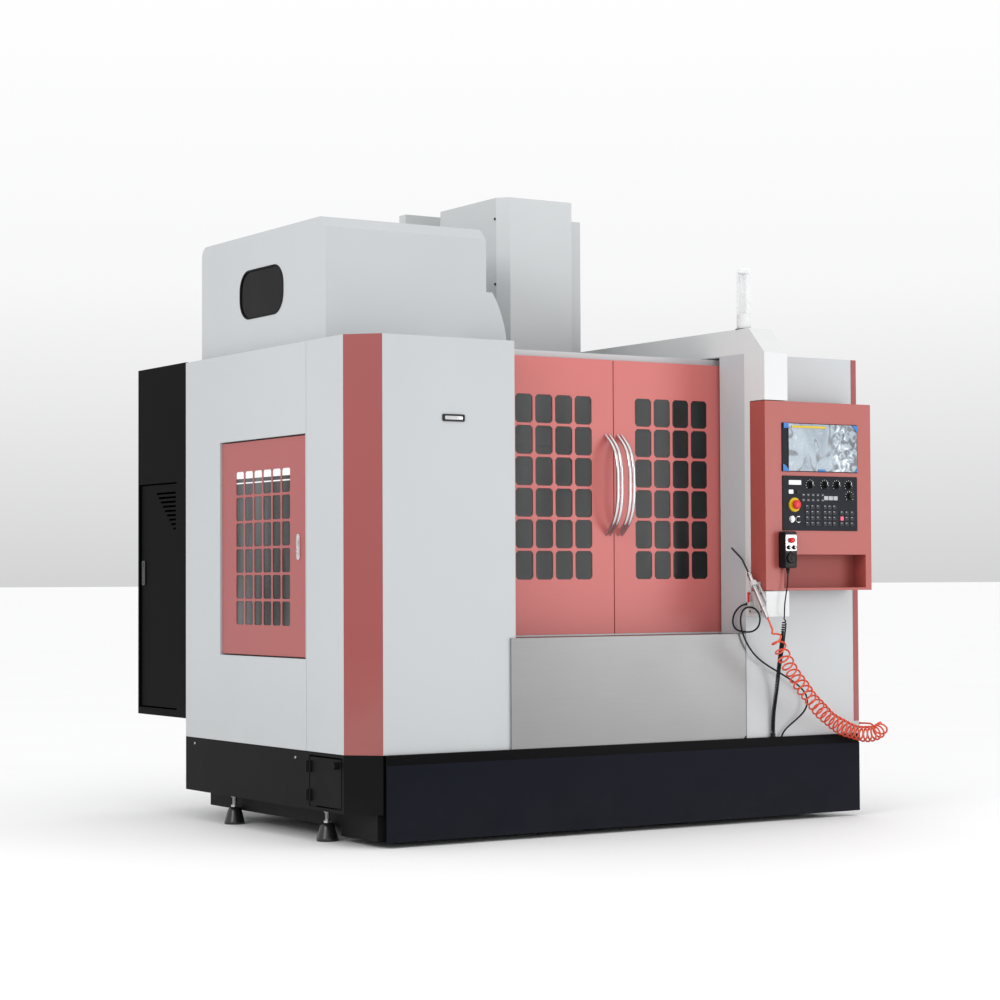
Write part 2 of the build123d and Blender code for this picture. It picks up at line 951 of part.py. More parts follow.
# Bracket on the column that carries the magazine hub and the arm's gearbox
bracket_left_x = centre_x - column_half_width - bracket_thickness
gearbox_half = gearbox_width / 2
with BuildPart() as magazine_bracket:
    block(
        (bracket_left_x, bracket_left_x + bracket_thickness),
        (bracket_front_y, bracket_rear_y),
        (bracket_bottom, bracket_top),
    )
    block(
        (arm_x - gearbox_half, arm_x + gearbox_half),
        (spindle_y - gearbox_half, spindle_y + gearbox_half),
        (gearbox_bottom, bracket_bottom),
    )
    with BuildSketch(Plane.YZ.offset(bracket_left_x - hub_length)):
        with Locations((spindle_y, magazine_z)):
            Circle(hub_radius)
    extrude(amount=hub_length)
    with BuildSketch(Plane.XY.offset(gearbox_bottom)):
        with Locations((arm_x, spindle_y)):
            Circle(arm_shaft_radius + shaft_gap)
    extrude(amount=bracket_bottom - gearbox_bottom, mode=Mode.SUBTRACT)
save(magazine_bracket.part, "magazine_bracket")

# Magazine disc with its ring of tool pots, each holding a tool holder
disc_right_x = bracket_left_x - hub_length + disc_end_gap + disc_thickness
disc_left_x = disc_right_x - disc_thickness
with BuildPart() as magazine_disc:
    with BuildSketch(Plane.YZ.offset(disc_left_x)):
        with Locations((spindle_y, magazine_z)):
            Circle(disc_radius)
            Circle(hub_radius + running_gap, mode=Mode.SUBTRACT)
    extrude(amount=disc_thickness)
    with BuildSketch(Plane.YZ.offset(disc_left_x)):
        with Locations((spindle_y, magazine_z)):
            with PolarLocations(pot_circle_radius, pot_count):
                Circle(pot_radius)
    extrude(amount=-pot_length)
    with BuildSketch(Plane.YZ.offset(disc_left_x - pot_length)):
        with Locations((spindle_y, magazine_z)):
            with PolarLocations(pot_circle_radius, pot_count):
                Circle(holder_radius)
    extrude(amount=-holder_length)
save(magazine_disc.part, "magazine_disc")

# Double tool change arm, parked along Y, on its shaft in the gearbox
with BuildPart() as change_arm:
    with BuildSketch(Plane.XY.offset(arm_bottom)):
        with Locations((arm_x, spindle_y)):
            Circle(arm_boss_radius)
            Rectangle(arm_width, 2 * arm_reach)
        for side in (-1, 1):
            with Locations((arm_x, spindle_y + side * arm_reach)):
                Circle(grip_radius)
                Circle(grip_bore_radius, mode=Mode.SUBTRACT)
            with Locations((arm_x + side * grip_radius, spindle_y + side * arm_reach)):
                Rectangle(2 * grip_radius, 2 * grip_bore_radius, mode=Mode.SUBTRACT)
    extrude(amount=arm_thickness)
    with BuildSketch(Plane.XY.offset(arm_bottom + arm_thickness)):
        with Locations((arm_x, spindle_y)):
            Circle(arm_shaft_radius)
    extrude(amount=bracket_bottom - arm_bottom - arm_thickness - running_gap)
save(change_arm.part, "change_arm")

# Magazine cover, chamfered along its front and rear top edges, with its side wing
with BuildPart() as magazine_cover:
    with BuildSketch(Plane.YZ.offset(magazine_left_x)) as cover_section:
        Polygon([
            (magazine_front_y, enclosure_top),
            (magazine_rear_y, enclosure_top),
            (magazine_rear_y, magazine_top),
            (magazine_front_y + magazine_chamfer, magazine_top),
            (magazine_front_y, magazine_top - magazine_chamfer),
        ])
        fillet(cover_section.vertices().sort_by(Axis.Y)[-2:].sort_by(Axis.X)[-1], magazine_round)
    extrude(amount=magazine_right_x - magazine_left_x)
    with BuildSketch(Plane.YZ.offset(magazine_left_x + sheet)) as hollow_section:
        Polygon([
            (magazine_front_y + sheet, enclosure_top - cut_overrun),
            (magazine_rear_y - sheet, enclosure_top - cut_overrun),
            (magazine_rear_y - sheet, magazine_top - sheet),
            (magazine_front_y + magazine_chamfer, magazine_top - sheet),
            (magazine_front_y + sheet, magazine_top - magazine_chamfer),
        ])
        fillet(hollow_section.vertices().sort_by(Axis.Y)[-2:].sort_by(Axis.X)[-1], magazine_round - sheet)
    extrude(amount=magazine_right_x - magazine_left_x - 2 * sheet, mode=Mode.SUBTRACT)
    with BuildSketch(Plane.YZ.offset(magazine_left_x - cut_overrun)):
        with Locations((window_y, window_z)):
            RectangleRounded(window_width, window_height, window_corner)
    extrude(amount=sheet + 2 * cut_overrun, mode=Mode.SUBTRACT)
    notch_half = hub_radius + hub_notch_margin
    block(
        (magazine_right_x - sheet - cut_overrun, magazine_right_x + cut_overrun),
        (spindle_y - notch_half, spindle_y + notch_half),
        (enclosure_top - cut_overrun, magazine_z + notch_half),
        Mode.SUBTRACT,
    )
    with BuildSketch(Plane.XZ.offset(-magazine_front_y - sheet)):
        wing_edge = magazine_right_x + wing_width
        wing_top = enclosure_top + wing_height
        with BuildLine():
            Polyline((wing_edge, enclosure_top), (magazine_right_x, enclosure_top), (magazine_right_x, wing_top))
            wing_lip = Line((magazine_right_x, wing_top), (magazine_right_x + wing_top_width, wing_top))
            ThreePointArc(
                wing_lip @ 1,
                (magazine_right_x + wing_belly_share * wing_width, enclosure_top + wing_belly_height),
                (wing_edge, enclosure_top),
            )
        make_face()
    extrude(amount=sheet)
save(magazine_cover.part, "magazine_cover")

# Dark pane behind the obround window of the magazine cover
with BuildPart() as magazine_window:
    with BuildSketch(Plane.YZ.offset(magazine_left_x + sheet)):
        with Locations((window_y, window_z)):
            RectangleRounded(window_width + 2 * window_lap, window_height + 2 * window_lap, window_corner)
    extrude(amount=glass)
save(magazine_window.part, "magazine_window")


def door_leaf(low_x):
    """A sliding door leaf: folded tray with its grid of panes, the seam side given by the grid."""
    high_x = low_x + door_width
    block((low_x, high_x), (door_front_y, door_rear_y), (door_bottom, door_top))
    block(
        (low_x + sheet, high_x - sheet),
        (door_front_y + sheet, door_rear_y + cut_overrun),
        (door_bottom + sheet, door_top - sheet),
        Mode.SUBTRACT,
    )


def pane_grid(first_x):
    """The cuts of one grid of door panes, each with clipped corners."""
    with BuildSketch(Plane.XZ.offset(-door_front_y - sheet - cut_overrun)) as panes:
        for column_index in range(grid_columns):
            for row_index in range(grid_rows):
                pane_x = first_x + column_index * grid_pitch_x + pane_width / 2
                pane_z = grid_bottom + row_index * grid_pitch_z + pane_height / 2
                with Locations((pane_x, pane_z)):
                    Rectangle(pane_width, pane_height)
        chamfer(panes.vertices(), pane_chamfer)
    extrude(panes.sketch, amount=sheet + 2 * cut_overrun, mode=Mode.SUBTRACT)


def door_glass(first_x):
    """The pane behind a door's grid."""
    grid_width = (grid_columns - 1) * grid_pitch_x + pane_width
    grid_height = (grid_rows - 1) * grid_pitch_z + pane_height
    block(
        (first_x - glass_lap, first_x + grid_width + glass_lap),
        (door_front_y + sheet, door_front_y + sheet + glass),
        (grid_bottom - glass_lap, grid_bottom + grid_height + glass_lap),
    )


def door_handle(near_x, outwards):
    """Twin bowed tubes on round feet, the second tube further from the seam."""
    bow_y = door_front_y - handle_reach
    foot_y = door_front_y - handle_foot_depth / 2
    for bar_x in (near_x, near_x + outwards * handle_pitch):
        with BuildLine(Plane.YZ.offset(bar_x)) as bow:
            FilletPolyline(
                (foot_y, handle_bottom),
                (bow_y, handle_bottom + handle_slope_height),
                (bow_y, handle_top - handle_slope_height),
                (foot_y, handle_top),
                radius=handle_bend,
            )
        with BuildSketch(Plane(origin=bow.line @ 0, z_dir=bow.line % 0)) as bar:
            Circle(handle_radius)
        sweep(bar.sketch, path=bow.line)
        with BuildSketch(Plane.XZ.offset(-door_front_y)) as feet:
            with Locations((bar_x, handle_bottom), (bar_x, handle_top)):
                Circle(handle_foot_radius)
        extrude(feet.sketch, amount=handle_foot_depth)


# Left front door, its pane and its handle
left_door_x = centre_x - seam_gap / 2 - door_width
left_grid_x = centre_x - grid_margin - (grid_columns - 1) * grid_pitch_x - pane_width
with BuildPart() as left_door:
    door_leaf(left_door_x)
    pane_grid(left_grid_x)
save(left_door.part, "left_door")
with BuildPart() as left_door_pane:
    door_glass(left_grid_x)
save(left_door_pane.part, "left_door_pane")
with BuildPart() as left_door_handle:
    door_handle(centre_x - handle_near, -1)
save(left_door_handle.part, "left_door_handle")

# Right front door, its pane and its handle
right_door_x = centre_x + seam_gap / 2
right_grid_x = centre_x + grid_margin
with BuildPart() as right_door:
    door_leaf(right_door_x)
    pane_grid(right_grid_x)
save(right_door.part, "right_door")
with BuildPart() as right_door_pane:
    door_glass(right_grid_x)
save(right_door_pane.part, "right_door_pane")
with BuildPart() as right_door_handle:
    door_handle(centre_x + handle_near, 1)
save(right_door_handle.part, "right_door_handle")


def leaf_with_pins(y, z, pin_side_y):
    """An inset side leaf between Y and Z limits of its opening, turning on two pins."""
    leaf_y = (y[0] + leaf_gap, y[1] - leaf_gap)
    leaf_z = (z[0] + leaf_gap, z[1] - leaf_gap)
    block((leaf_face_x, leaf_face_x + leaf_depth), leaf_y, leaf_z)
    block(
        (leaf_face_x + sheet, leaf_face_x + leaf_depth + cut_overrun),
        (leaf_y[0] + sheet, leaf_y[1] - sheet),
        (leaf_z[0] + sheet, leaf_z[1] - sheet),
        Mode.SUBTRACT,
    )
    axis_x = leaf_face_x + leaf_depth / 2
    for end_z, inward in ((leaf_z[0], 1), (leaf_z[1], -1)):
        block(
            (leaf_face_x, leaf_face_x + leaf_depth),
            (pin_side_y - pin_inset, pin_side_y + pin_inset),
            (end_z, end_z + inward * pin_boss_width),
        )
        with Locations((axis_x, pin_side_y, end_z - inward * leaf_gap)):
            Cylinder(pin_radius, pin_depth)


# Left side door with its grid of tall panes
with BuildPart() as side_door:
    leaf_with_pins(opening_y, opening_z, pin_y)
    with BuildSketch(Plane.YZ.offset(leaf_face_x - cut_overrun)) as side_panes:
        for column_index in range(side_columns):
            for row_index in range(side_rows):
                pane_y = side_grid_front_y + column_index * side_pitch_y + side_pane_width / 2
                pane_z = side_grid_bottom + row_index * side_pitch_z + side_pane_height / 2
                with Locations((pane_y, pane_z)):
                    Rectangle(side_pane_width, side_pane_height)
        chamfer(side_panes.vertices(), side_pane_chamfer)
    extrude(amount=sheet + 2 * cut_overrun, mode=Mode.SUBTRACT)
save(side_door.part, "side_door")

# Pane behind the side door's grid
with BuildPart() as side_door_pane:
    side_grid_rear_y = side_grid_front_y + (side_columns - 1) * side_pitch_y + side_pane_width
    side_grid_top = side_grid_bottom + (side_rows - 1) * side_pitch_z + side_pane_height
    block(
        (leaf_face_x + sheet, leaf_face_x + sheet + glass),
        (side_grid_front_y - glass_lap, side_grid_rear_y + glass_lap),
        (side_grid_bottom - glass_lap, side_grid_top + glass_lap),
    )
save(side_door_pane.part, "side_door_pane")

# Electrical cabinet: folded box hung on the rear of the enclosure
cabinet_rear_y = rear_y + cabinet_depth
cabinet_opening_y = (cabinet_door_front_y, cabinet_door_rear_y)
cabinet_opening_z = (cabinet_door_bottom, cabinet_door_top)
cabinet_pin_y = cabinet_door_front_y + leaf_gap + pin_inset
with BuildPart() as cabinet:
    block((left_x, cabinet_right_x), (rear_y, cabinet_rear_y), (cabinet_bottom, cabinet_top))
    block(
        (left_x + sheet, cabinet_right_x - sheet),
        (rear_y + sheet, cabinet_rear_y - sheet),
        (cabinet_bottom + sheet, cabinet_top - sheet),
        Mode.SUBTRACT,
    )
    block(
        (left_x, left_x + frame_depth),
        (cabinet_opening_y[0] - sheet, cabinet_opening_y[1] + sheet),
        (cabinet_opening_z[0] - sheet, cabinet_opening_z[1] + sheet),
    )
    block(
        (left_x - cut_overrun, left_x + frame_depth + cut_overrun),
        cabinet_opening_y,
        cabinet_opening_z,
        Mode.SUBTRACT,
    )
    with Locations((pin_x, cabinet_pin_y, (cabinet_door_bottom + cabinet_door_top) / 2)):
        Cylinder(
            pin_radius + running_gap,
            cabinet_door_top - cabinet_door_bottom + 2 * cut_overrun,
            mode=Mode.SUBTRACT,
        )
save(cabinet.part, "cabinet")

# Cabinet door with its three-cornered field of louvre slots
with BuildPart() as cabinet_door:
    leaf_with_pins(cabinet_opening_y, cabinet_opening_z, cabinet_pin_y)
    with BuildSketch(Plane.YZ.offset(leaf_face_x - cut_overrun)):
        for row_index in range(louvre_rows):
            share = 1 - (1 - louvre_short_share) * row_index / (louvre_rows - 1)
            slot_length = louvre_length * share
            slot_z = louvre_top - row_index * louvre_pitch
            with Locations((louvre_front_y + slot_length / 2, slot_z)):
                Rectangle(slot_length, louvre_height)
    extrude(amount=sheet + 2 * cut_overrun, mode=Mode.SUBTRACT)
save(cabinet_door.part, "cabinet_door")

# Mounting plate with its drive modules inside the cabinet
with BuildPart() as cabinet_plate:
    plate_right_x = cabinet_right_x - sheet
    plate_left_x = plate_right_x - plate_thickness
    plate_y = (rear_y + plate_margin, cabinet_rear_y - plate_margin)
    block((plate_left_x, plate_right_x), plate_y, (cabinet_bottom + plate_margin, cabinet_top - plate_margin))
    for module_index in range(module_count):
        module_bottom = cabinet_bottom + 2 * plate_margin + module_index * (module_height + module_gap)
        block(
            (plate_left_x - module_depth, plate_left_x),
            (plate_y[0] + plate_margin, plate_y[1] - plate_margin),
            (module_bottom, module_bottom + module_height),
        )
save(cabinet_plate.part, "cabinet_plate")

# Console column: lower bracket, neck, hood and overhead cable beam, one hollow folded housing
column_profile = [
    (front_y, console_bottom - console_clear - bracket_drop),
    (console_front_y, console_bottom - console_clear - bracket_drop),
    (console_front_y, console_bottom - console_clear),
    (console_rear_y, console_bottom - console_clear),
    (console_rear_y, console_top + console_clear),
    (console_front_y, console_top + console_clear),
    (console_front_y, hood_shoulder),
    (hood_slope_y, hood_top),
    (cable_beam_rear_y, hood_top),
    (cable_beam_rear_y, enclosure_top),
    (front_y, enclosure_top),
]
with BuildPart() as console_column:
    with BuildSketch(Plane.YZ.offset(jamb_right_x)):
        Polygon(column_profile)
    extrude(amount=column_right_x - jamb_right_x)
    with BuildSketch(Plane.YZ.offset(jamb_right_x + sheet)) as hollow:
        Polygon(column_profile)
        offset(amount=-sheet, kind=Kind.INTERSECTION, mode=Mode.REPLACE)
        with Locations((cable_beam_rear_y, (enclosure_top + hood_top) / 2)):
            Rectangle(4 * sheet, hood_top - enclosure_top - 2 * sheet)
    extrude(amount=column_right_x - jamb_right_x - 2 * sheet, mode=Mode.SUBTRACT)
save(console_column.part, "console_column")

# Red console box, open at its back, with the shelf recess and the two cut-outs
with BuildPart() as console_box:
    block((jamb_right_x, console_right_x), (console_front_y, console_rear_y), (console_bottom, console_top))
    block(
        (jamb_right_x + sheet, console_right_x - sheet),
        (console_front_y + sheet, console_rear_y + cut_overrun),
        (console_bottom + sheet, console_top - sheet),
        Mode.SUBTRACT,
    )
    block(
        (shelf_left_x - sheet, shelf_right_x + sheet),
        (console_front_y, console_front_y + shelf_depth + sheet),
        (shelf_bottom - sheet, shelf_top + sheet),
    )
    block(
        (shelf_left_x, shelf_right_x),
        (console_front_y - cut_overrun, console_front_y + shelf_depth),
        (shelf_bottom, shelf_top),
        Mode.SUBTRACT,
    )
    for cut_x, cut_z in (
        ((display_left_x, display_right_x), (display_bottom, display_top)),
        ((panel_left_x, panel_right_x), (panel_bottom, panel_top)),
    ):
        block(cut_x, (console_front_y - cut_overrun, console_front_y + sheet + cut_overrun), cut_z, Mode.SUBTRACT)
save(console_box.part, "console_box")

# Display unit: screen in a sunk field, key field at its right
with BuildPart() as display_unit:
    display_face_y = console_front_y - display_proud
    display_width = display_right_x - display_left_x
    key_field_x = display_right_x - key_strip_share * display_width
    block(
        (display_left_x, display_right_x),
        (display_face_y, console_front_y + display_depth),
        (display_bottom, display_top),
    )
    block(
        (display_left_x + screen_frame, key_field_x),
        (display_face_y - cut_overrun, display_face_y + screen_recess),
        (display_bottom + screen_frame, display_top - screen_frame),
        Mode.SUBTRACT,
    )
save(display_unit.part, "display_unit")


def panel_place(shares):
    """A place on the operator panel from shares of its width and height."""
    return panel_left_x + shares[0] * panel_width, panel_bottom + shares[1] * panel_height


panel_plane = Plane.XZ.offset(-panel_face_y)
estop_place = panel_place(estop_shares)
button_places = [panel_place(shares) for shares in button_shares]
knob_places = [panel_place((x_share, knob_z_share)) for x_share in knob_x_shares]

# Operator panel with bored places for its switches and the emergency stop's collar
with BuildPart() as operator_panel:
    block(
        (panel_left_x, panel_right_x),
        (panel_face_y, panel_face_y + panel_thickness),
        (panel_bottom, panel_top),
    )
    with BuildSketch(panel_plane):
        with Locations(estop_place):
            Circle(collar_radius)
    extrude(amount=collar_height)
    with BuildSketch(panel_plane.offset(-panel_thickness - cut_overrun)):
        with Locations(estop_place):
            Circle(estop_stem_radius + running_gap)
        with Locations(*button_places):
            Circle(button_radius + running_gap)
        with Locations(*knob_places):
            Circle(dial_stem_radius + shaft_gap)
    extrude(amount=panel_thickness + collar_height + 2 * cut_overrun, mode=Mode.SUBTRACT)
save(operator_panel.part, "operator_panel")

# Emergency stop mushroom on its stem
with BuildPart() as estop_button:
    estop_plane = panel_plane.offset(collar_height + estop_travel)
    with BuildSketch(estop_plane):
        with Locations(estop_place):
            Circle(estop_radius)
    extrude(amount=estop_length)
    with BuildSketch(estop_plane):
        with Locations(estop_place):
            Circle(estop_stem_radius)
    extrude(amount=-collar_height - panel_thickness)
save(estop_button.part, "estop_button")

# Start and stop push buttons
for button_name, place in zip(("start_button", "stop_button"), button_places):
    with BuildPart() as push_button:
        with BuildSketch(panel_plane.offset(button_proud)):
            with Locations(place):
                Circle(button_radius)
        extrude(amount=-button_proud - panel_thickness + button_travel)
    save(push_button.part, button_name)

# Four rotary switches, each a skirted knob with a gripping bar
for knob_name, place in zip(("mode_knob", "rapid_knob", "feed_knob", "speed_knob"), knob_places):
    with BuildPart() as rotary_knob:
        with BuildSketch(panel_plane.offset(running_gap)):
            with Locations(place):
                Circle(dial_skirt_radius)
        extrude(amount=dial_skirt_height)
        with BuildSketch(panel_plane.offset(dial_skirt_height)):
            with Locations(place):
                Rectangle(dial_flat_width, 2 * dial_radius)
        extrude(amount=dial_length - dial_skirt_height)
        with BuildSketch(panel_plane.offset(running_gap)):
            with Locations(place):
                Circle(dial_stem_radius)
        extrude(amount=-panel_thickness)
    save(rotary_knob.part, knob_name)

# Hand pendant hung on the console, with its cable gland
pendant_x = (pendant_left_x + pendant_right_x) / 2
wheel_z = pendant_bottom + wheel_z_share * (pendant_top - pendant_bottom)
pendant_plane = Plane.XZ.offset(-pendant_front_y)
with BuildPart() as pendant_body:
    with BuildSketch(pendant_plane):
        with Locations((pendant_x, (pendant_bottom + pendant_top) / 2)):
            RectangleRounded(pendant_right_x - pendant_left_x, pendant_top - pendant_bottom, pendant_round)
    extrude(amount=-pendant_depth)
    with BuildSketch(Plane.XY.offset(pendant_bottom)):
        with Locations((pendant_x, console_front_y - pendant_depth / 2)):
            Circle(gland_radius)
    extrude(amount=-gland_length)
    with BuildSketch(pendant_plane):
        with Locations((pendant_x, wheel_z)):
            Circle(wheel_stem_radius + shaft_gap)
    extrude(amount=-pendant_depth / 2, mode=Mode.SUBTRACT)
save(pendant_body.part, "pendant_body")

# Pulse wheel on the pendant's front
with BuildPart() as pendant_wheel:
    with BuildSketch(pendant_plane.offset(running_gap)):
        with Locations((pendant_x, wheel_z)):
            Circle(wheel_radius)
    extrude(amount=wheel_thickness)
    with BuildSketch(pendant_plane.offset(running_gap)):
        with Locations((pendant_x, wheel_z)):
            Circle(wheel_stem_radius)
    extrude(amount=-pendant_depth / 3)
save(pendant_wheel.part, "pendant_wheel")

# Signal lamp: square base on the cable beam and a clear tube
with BuildPart() as lamp_base:
    lamp_half = lamp_base_width / 2
    block(
        (lamp_x - lamp_half, lamp_x + lamp_half),
        (lamp_y - lamp_half, lamp_y + lamp_half),
        (hood_top, hood_top + lamp_base_height),
    )
save(lamp_base.part, "lamp_base")
with BuildPart() as lamp_tube:
    tube_bottom = hood_top + lamp_base_height
    with BuildSketch(Plane.XY.offset(tube_bottom)):
        with Locations((lamp_x, lamp_y)):
            Circle(lamp_tube_radius)
    extrude(amount=lamp_tube_height)
    with BuildSketch(Plane.XY.offset(tube_bottom)):
        with Locations((lamp_x, lamp_y)):
            Circle(lamp_tube_radius - lamp_wall)
    extrude(amount=lamp_tube_height - lamp_wall, mode=Mode.SUBTRACT)
save(lamp_tube.part, "lamp_tube")

# Air gun: bent nozzle, straight body, tail and lever
gun_points = [Vector(gun_x, *p) for p in (gun_tip, gun_elbow, gun_neck, gun_tail)]
gun_axis = (gun_points[3] - gun_points[2]).normalized()
gun_length = (gun_points[3] - gun_points[2]).length
gun_plane = Plane(origin=gun_points[2], x_dir=(1, 0, 0), z_dir=gun_axis)
with BuildPart() as air_gun:
    with BuildLine() as nozzle_path:
        FilletPolyline(*gun_points[:3], radius=nozzle_bend)
    with BuildSketch(Plane(origin=nozzle_path.line @ 0, z_dir=nozzle_path.line % 0)):
        Circle(nozzle_radius)
    sweep(path=nozzle_path.line)
    with BuildSketch(gun_plane):
        Circle(gun_radius)
    extrude(amount=gun_length - gun_tail_length)
    with BuildSketch(gun_plane.offset(gun_length - gun_tail_length)):
        Circle(gun_tail_radius)
    extrude(amount=gun_tail_length)
    with BuildSketch(gun_plane.offset(gun_length / 2 - lever_length / 2)):
        with Locations((0, gun_radius + lever_lift / 2)):
            Rectangle(lever_width, lever_lift)
    extrude(amount=lever_thickness)
    with BuildSketch(gun_plane.offset(gun_length / 2 - lever_length / 2)):
        with Locations((0, gun_radius + lever_lift)):
            Rectangle(lever_width, lever_thickness)
    extrude(amount=lever_length)
save(air_gun.part, "air_gun")

# Gun holder: plate on the console column's side with a ring around the gun
ring_plane = gun_plane.offset(holder_share * gun_length)
with BuildPart() as gun_holder:
    block(
        (jamb_right_x - sheet, jamb_right_x),
        (holder_plate_front_y, holder_plate_rear_y),
        (holder_plate_bottom, console_bottom - console_clear),
    )
    block(
        (jamb_right_x - sheet - valve_size, jamb_right_x - sheet),
        (valve_y - valve_size / 2, valve_y + valve_size / 2),
        (valve_z - valve_size / 2, valve_z + valve_size / 2),
    )
    ring_centre = ring_plane.origin
    block(
        (ring_centre.X, jamb_right_x - sheet),
        (ring_centre.Y - holder_ring_radius / 2, ring_centre.Y + holder_ring_radius / 2),
        (ring_centre.Z - holder_ring_radius / 2, ring_centre.Z + holder_ring_radius / 2),
    )
    block(
        (jamb_right_x - sheet - holder_ring_radius / 2, jamb_right_x - sheet),
        (ring_centre.Y - holder_ring_radius / 2, ring_centre.Y + holder_ring_radius / 2),
        (holder_plate_bottom, ring_centre.Z),
    )
    with BuildSketch(ring_plane.offset(-holder_ring_length / 2)):
        Circle(holder_ring_radius)
    extrude(amount=holder_ring_length)
    with BuildSketch(ring_plane.offset(-holder_ring_length)):
        Circle(gun_radius + running_gap)
    extrude(amount=2 * holder_ring_length, mode=Mode.SUBTRACT)
save(gun_holder.part, "gun_holder")

# Hose fitting: flanged elbow on the right side panel
with BuildPart() as hose_fitting:
    with BuildSketch(Plane.YZ.offset(right_x)):
        with Locations((fitting_y, fitting_z)):
            Circle(fitting_flange_radius)
    extrude(amount=fitting_flange)
    with BuildSketch(Plane.YZ.offset(right_x)):
        with Locations((fitting_y, fitting_z)):
            Circle(fitting_radius)
    extrude(amount=fitting_reach + fitting_radius)
    with BuildSketch(Plane.XZ.offset(-fitting_y)):
        with Locations((right_x + fitting_reach, fitting_z)):
            Circle(nipple_radius)
    extrude(amount=nipple_length)
save(hose_fitting.part, "hose_fitting")


def cord_tube(route, diameter, name):
    """A tube along straight runs and the largest tangent arcs that its runs allow."""
    points = [Vector(*p) for p in route]
    runs = [b - a for a, b in zip(points, points[1:])]
    bends = []
    for before, after in zip(runs, runs[1:]):
        half_turn = radians(before.get_angle(after)) / 2
        bends.append(arc_share * min(before.length, after.length) / tan(half_turn))
    print(name, "bend radii", [round(bend) for bend in bends])
    with BuildPart() as cord:
        with BuildLine() as path:
            FilletPolyline(*points, radius=bends)
        with BuildSketch(Plane(origin=points[0], z_dir=runs[0])):
            Circle(diameter / 2)
        sweep(path=path.line)
    print(name, "length", round(sum(edge.length for edge in path.edges())))
    save(cord.part, name)


# Cords: coil hose, the pendant cable's three stretches and the thin air tube
arc_share = 0.45
cord_tube(hose_coil_route, hose_coil_diameter, "hose_coil")
cord_tube(pendant_lead_route, lead_diameter, "pendant_lead")
cord_tube(pendant_curl_route, curl_diameter, "pendant_curl")
cord_tube(pendant_tail_route, tail_diameter, "pendant_tail")
cord_tube(air_tube_route, tube_diameter, "air_tube")
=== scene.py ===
import math

import bmesh
import bpy
from mathutils import Matrix, Vector, noise


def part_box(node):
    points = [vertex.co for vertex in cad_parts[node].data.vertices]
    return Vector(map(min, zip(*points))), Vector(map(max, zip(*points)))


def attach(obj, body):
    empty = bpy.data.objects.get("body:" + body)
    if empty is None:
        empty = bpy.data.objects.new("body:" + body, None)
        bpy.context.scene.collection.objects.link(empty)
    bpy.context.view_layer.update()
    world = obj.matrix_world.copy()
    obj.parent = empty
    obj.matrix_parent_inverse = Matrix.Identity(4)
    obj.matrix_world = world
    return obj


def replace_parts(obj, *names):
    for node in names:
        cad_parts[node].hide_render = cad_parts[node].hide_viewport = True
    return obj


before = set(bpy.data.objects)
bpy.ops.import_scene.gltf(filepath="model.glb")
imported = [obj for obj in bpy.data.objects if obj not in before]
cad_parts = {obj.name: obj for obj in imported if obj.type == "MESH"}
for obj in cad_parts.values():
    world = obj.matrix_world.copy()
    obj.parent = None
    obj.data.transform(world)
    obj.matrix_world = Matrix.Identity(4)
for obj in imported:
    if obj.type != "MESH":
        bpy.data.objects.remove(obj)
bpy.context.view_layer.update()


# Bed, column, saddle, table and head
# Grey iron castings, filled, painted and bolted together, with their guide rails and the table ground bare.
# They stand inside the sheet housing, so most of them shows only through the door panes.
class Shade:
    """A shader socket: sums on it add Math nodes, and node() adds a node of any other kind."""

    def __init__(self, tree, socket):
        self.tree = tree
        self.socket = socket

    def node(self, kind, settings, sockets, out=0):
        made = self.tree.nodes.new(kind)
        for name, value in settings.items():
            if name == "stops":
                ramp = made.color_ramp.elements
                for index, (place, colour) in enumerate(value):
                    stop = ramp[index] if index < 2 else ramp.new(place)
                    stop.position = place
                    stop.color = colour
            else:
                setattr(made, name, value)
        for name, value in sockets.items():
            if isinstance(value, Shade):
                self.tree.links.new(value.socket, made.inputs[name])
            else:
                made.inputs[name].default_value = value
        return Shade(self.tree, made.outputs[out])

    def maths(self, operation, first, second):
        return self.node("ShaderNodeMath", {"operation": operation}, {0: first, 1: second})

    def __add__(self, other):
        return self.maths("ADD", self, other)

    def __sub__(self, other):
        return self.maths("SUBTRACT", self, other)

    def __rsub__(self, other):
        return self.maths("SUBTRACT", other, self)

    def __mul__(self, other):
        return self.maths("MULTIPLY", self, other)

    __radd__ = __add__
    __rmul__ = __mul__


def grain(place, scale, detail=2.0, stretch=None):
    """Noise over the piece, drawn out along an axis where its stretch is small."""
    if stretch:
        place = place.node("ShaderNodeMapping", {}, {"Vector": place, "Scale": stretch})
    return place.node("ShaderNodeTexNoise", {}, {"Vector": place, "Scale": scale, "Detail": detail})


def part_way(mask, first, second):
    """The first colour where the mask is nought, the second where it is one."""
    return mask.node("ShaderNodeMix", {"data_type": "RGBA"}, {0: mask, 6: first, 7: second}, 2)


def shade_of(colour, factor):
    """The same colour, lighter or darker."""
    return tuple(min(1.0, channel * factor) for channel in colour[:3]) + (1.0,)


def mottled(mask, colour, darkest, lightest):
    """One colour, from a darker shade where the mask is nought to a lighter one where it is one."""
    return part_way(mask, shade_of(colour, darkest), shade_of(colour, lightest))


def relief(height, strength, distance):
    """Small unevenness of the surface, in metres."""
    return height.node("ShaderNodeBump", {}, {"Strength": strength, "Distance": distance, "Height": height})


def blank_finish(name, fixed):
    """A material with the sockets that are the same all over, and the place on the piece to vary it by."""
    material = bpy.data.materials.new(name)
    material.use_nodes = True
    tree = material.node_tree
    for socket, value in fixed.items():
        tree.nodes["Principled BSDF"].inputs[socket].default_value = value
    return material, Shade(tree, tree.nodes.new("ShaderNodeTexCoord").outputs["Object"])


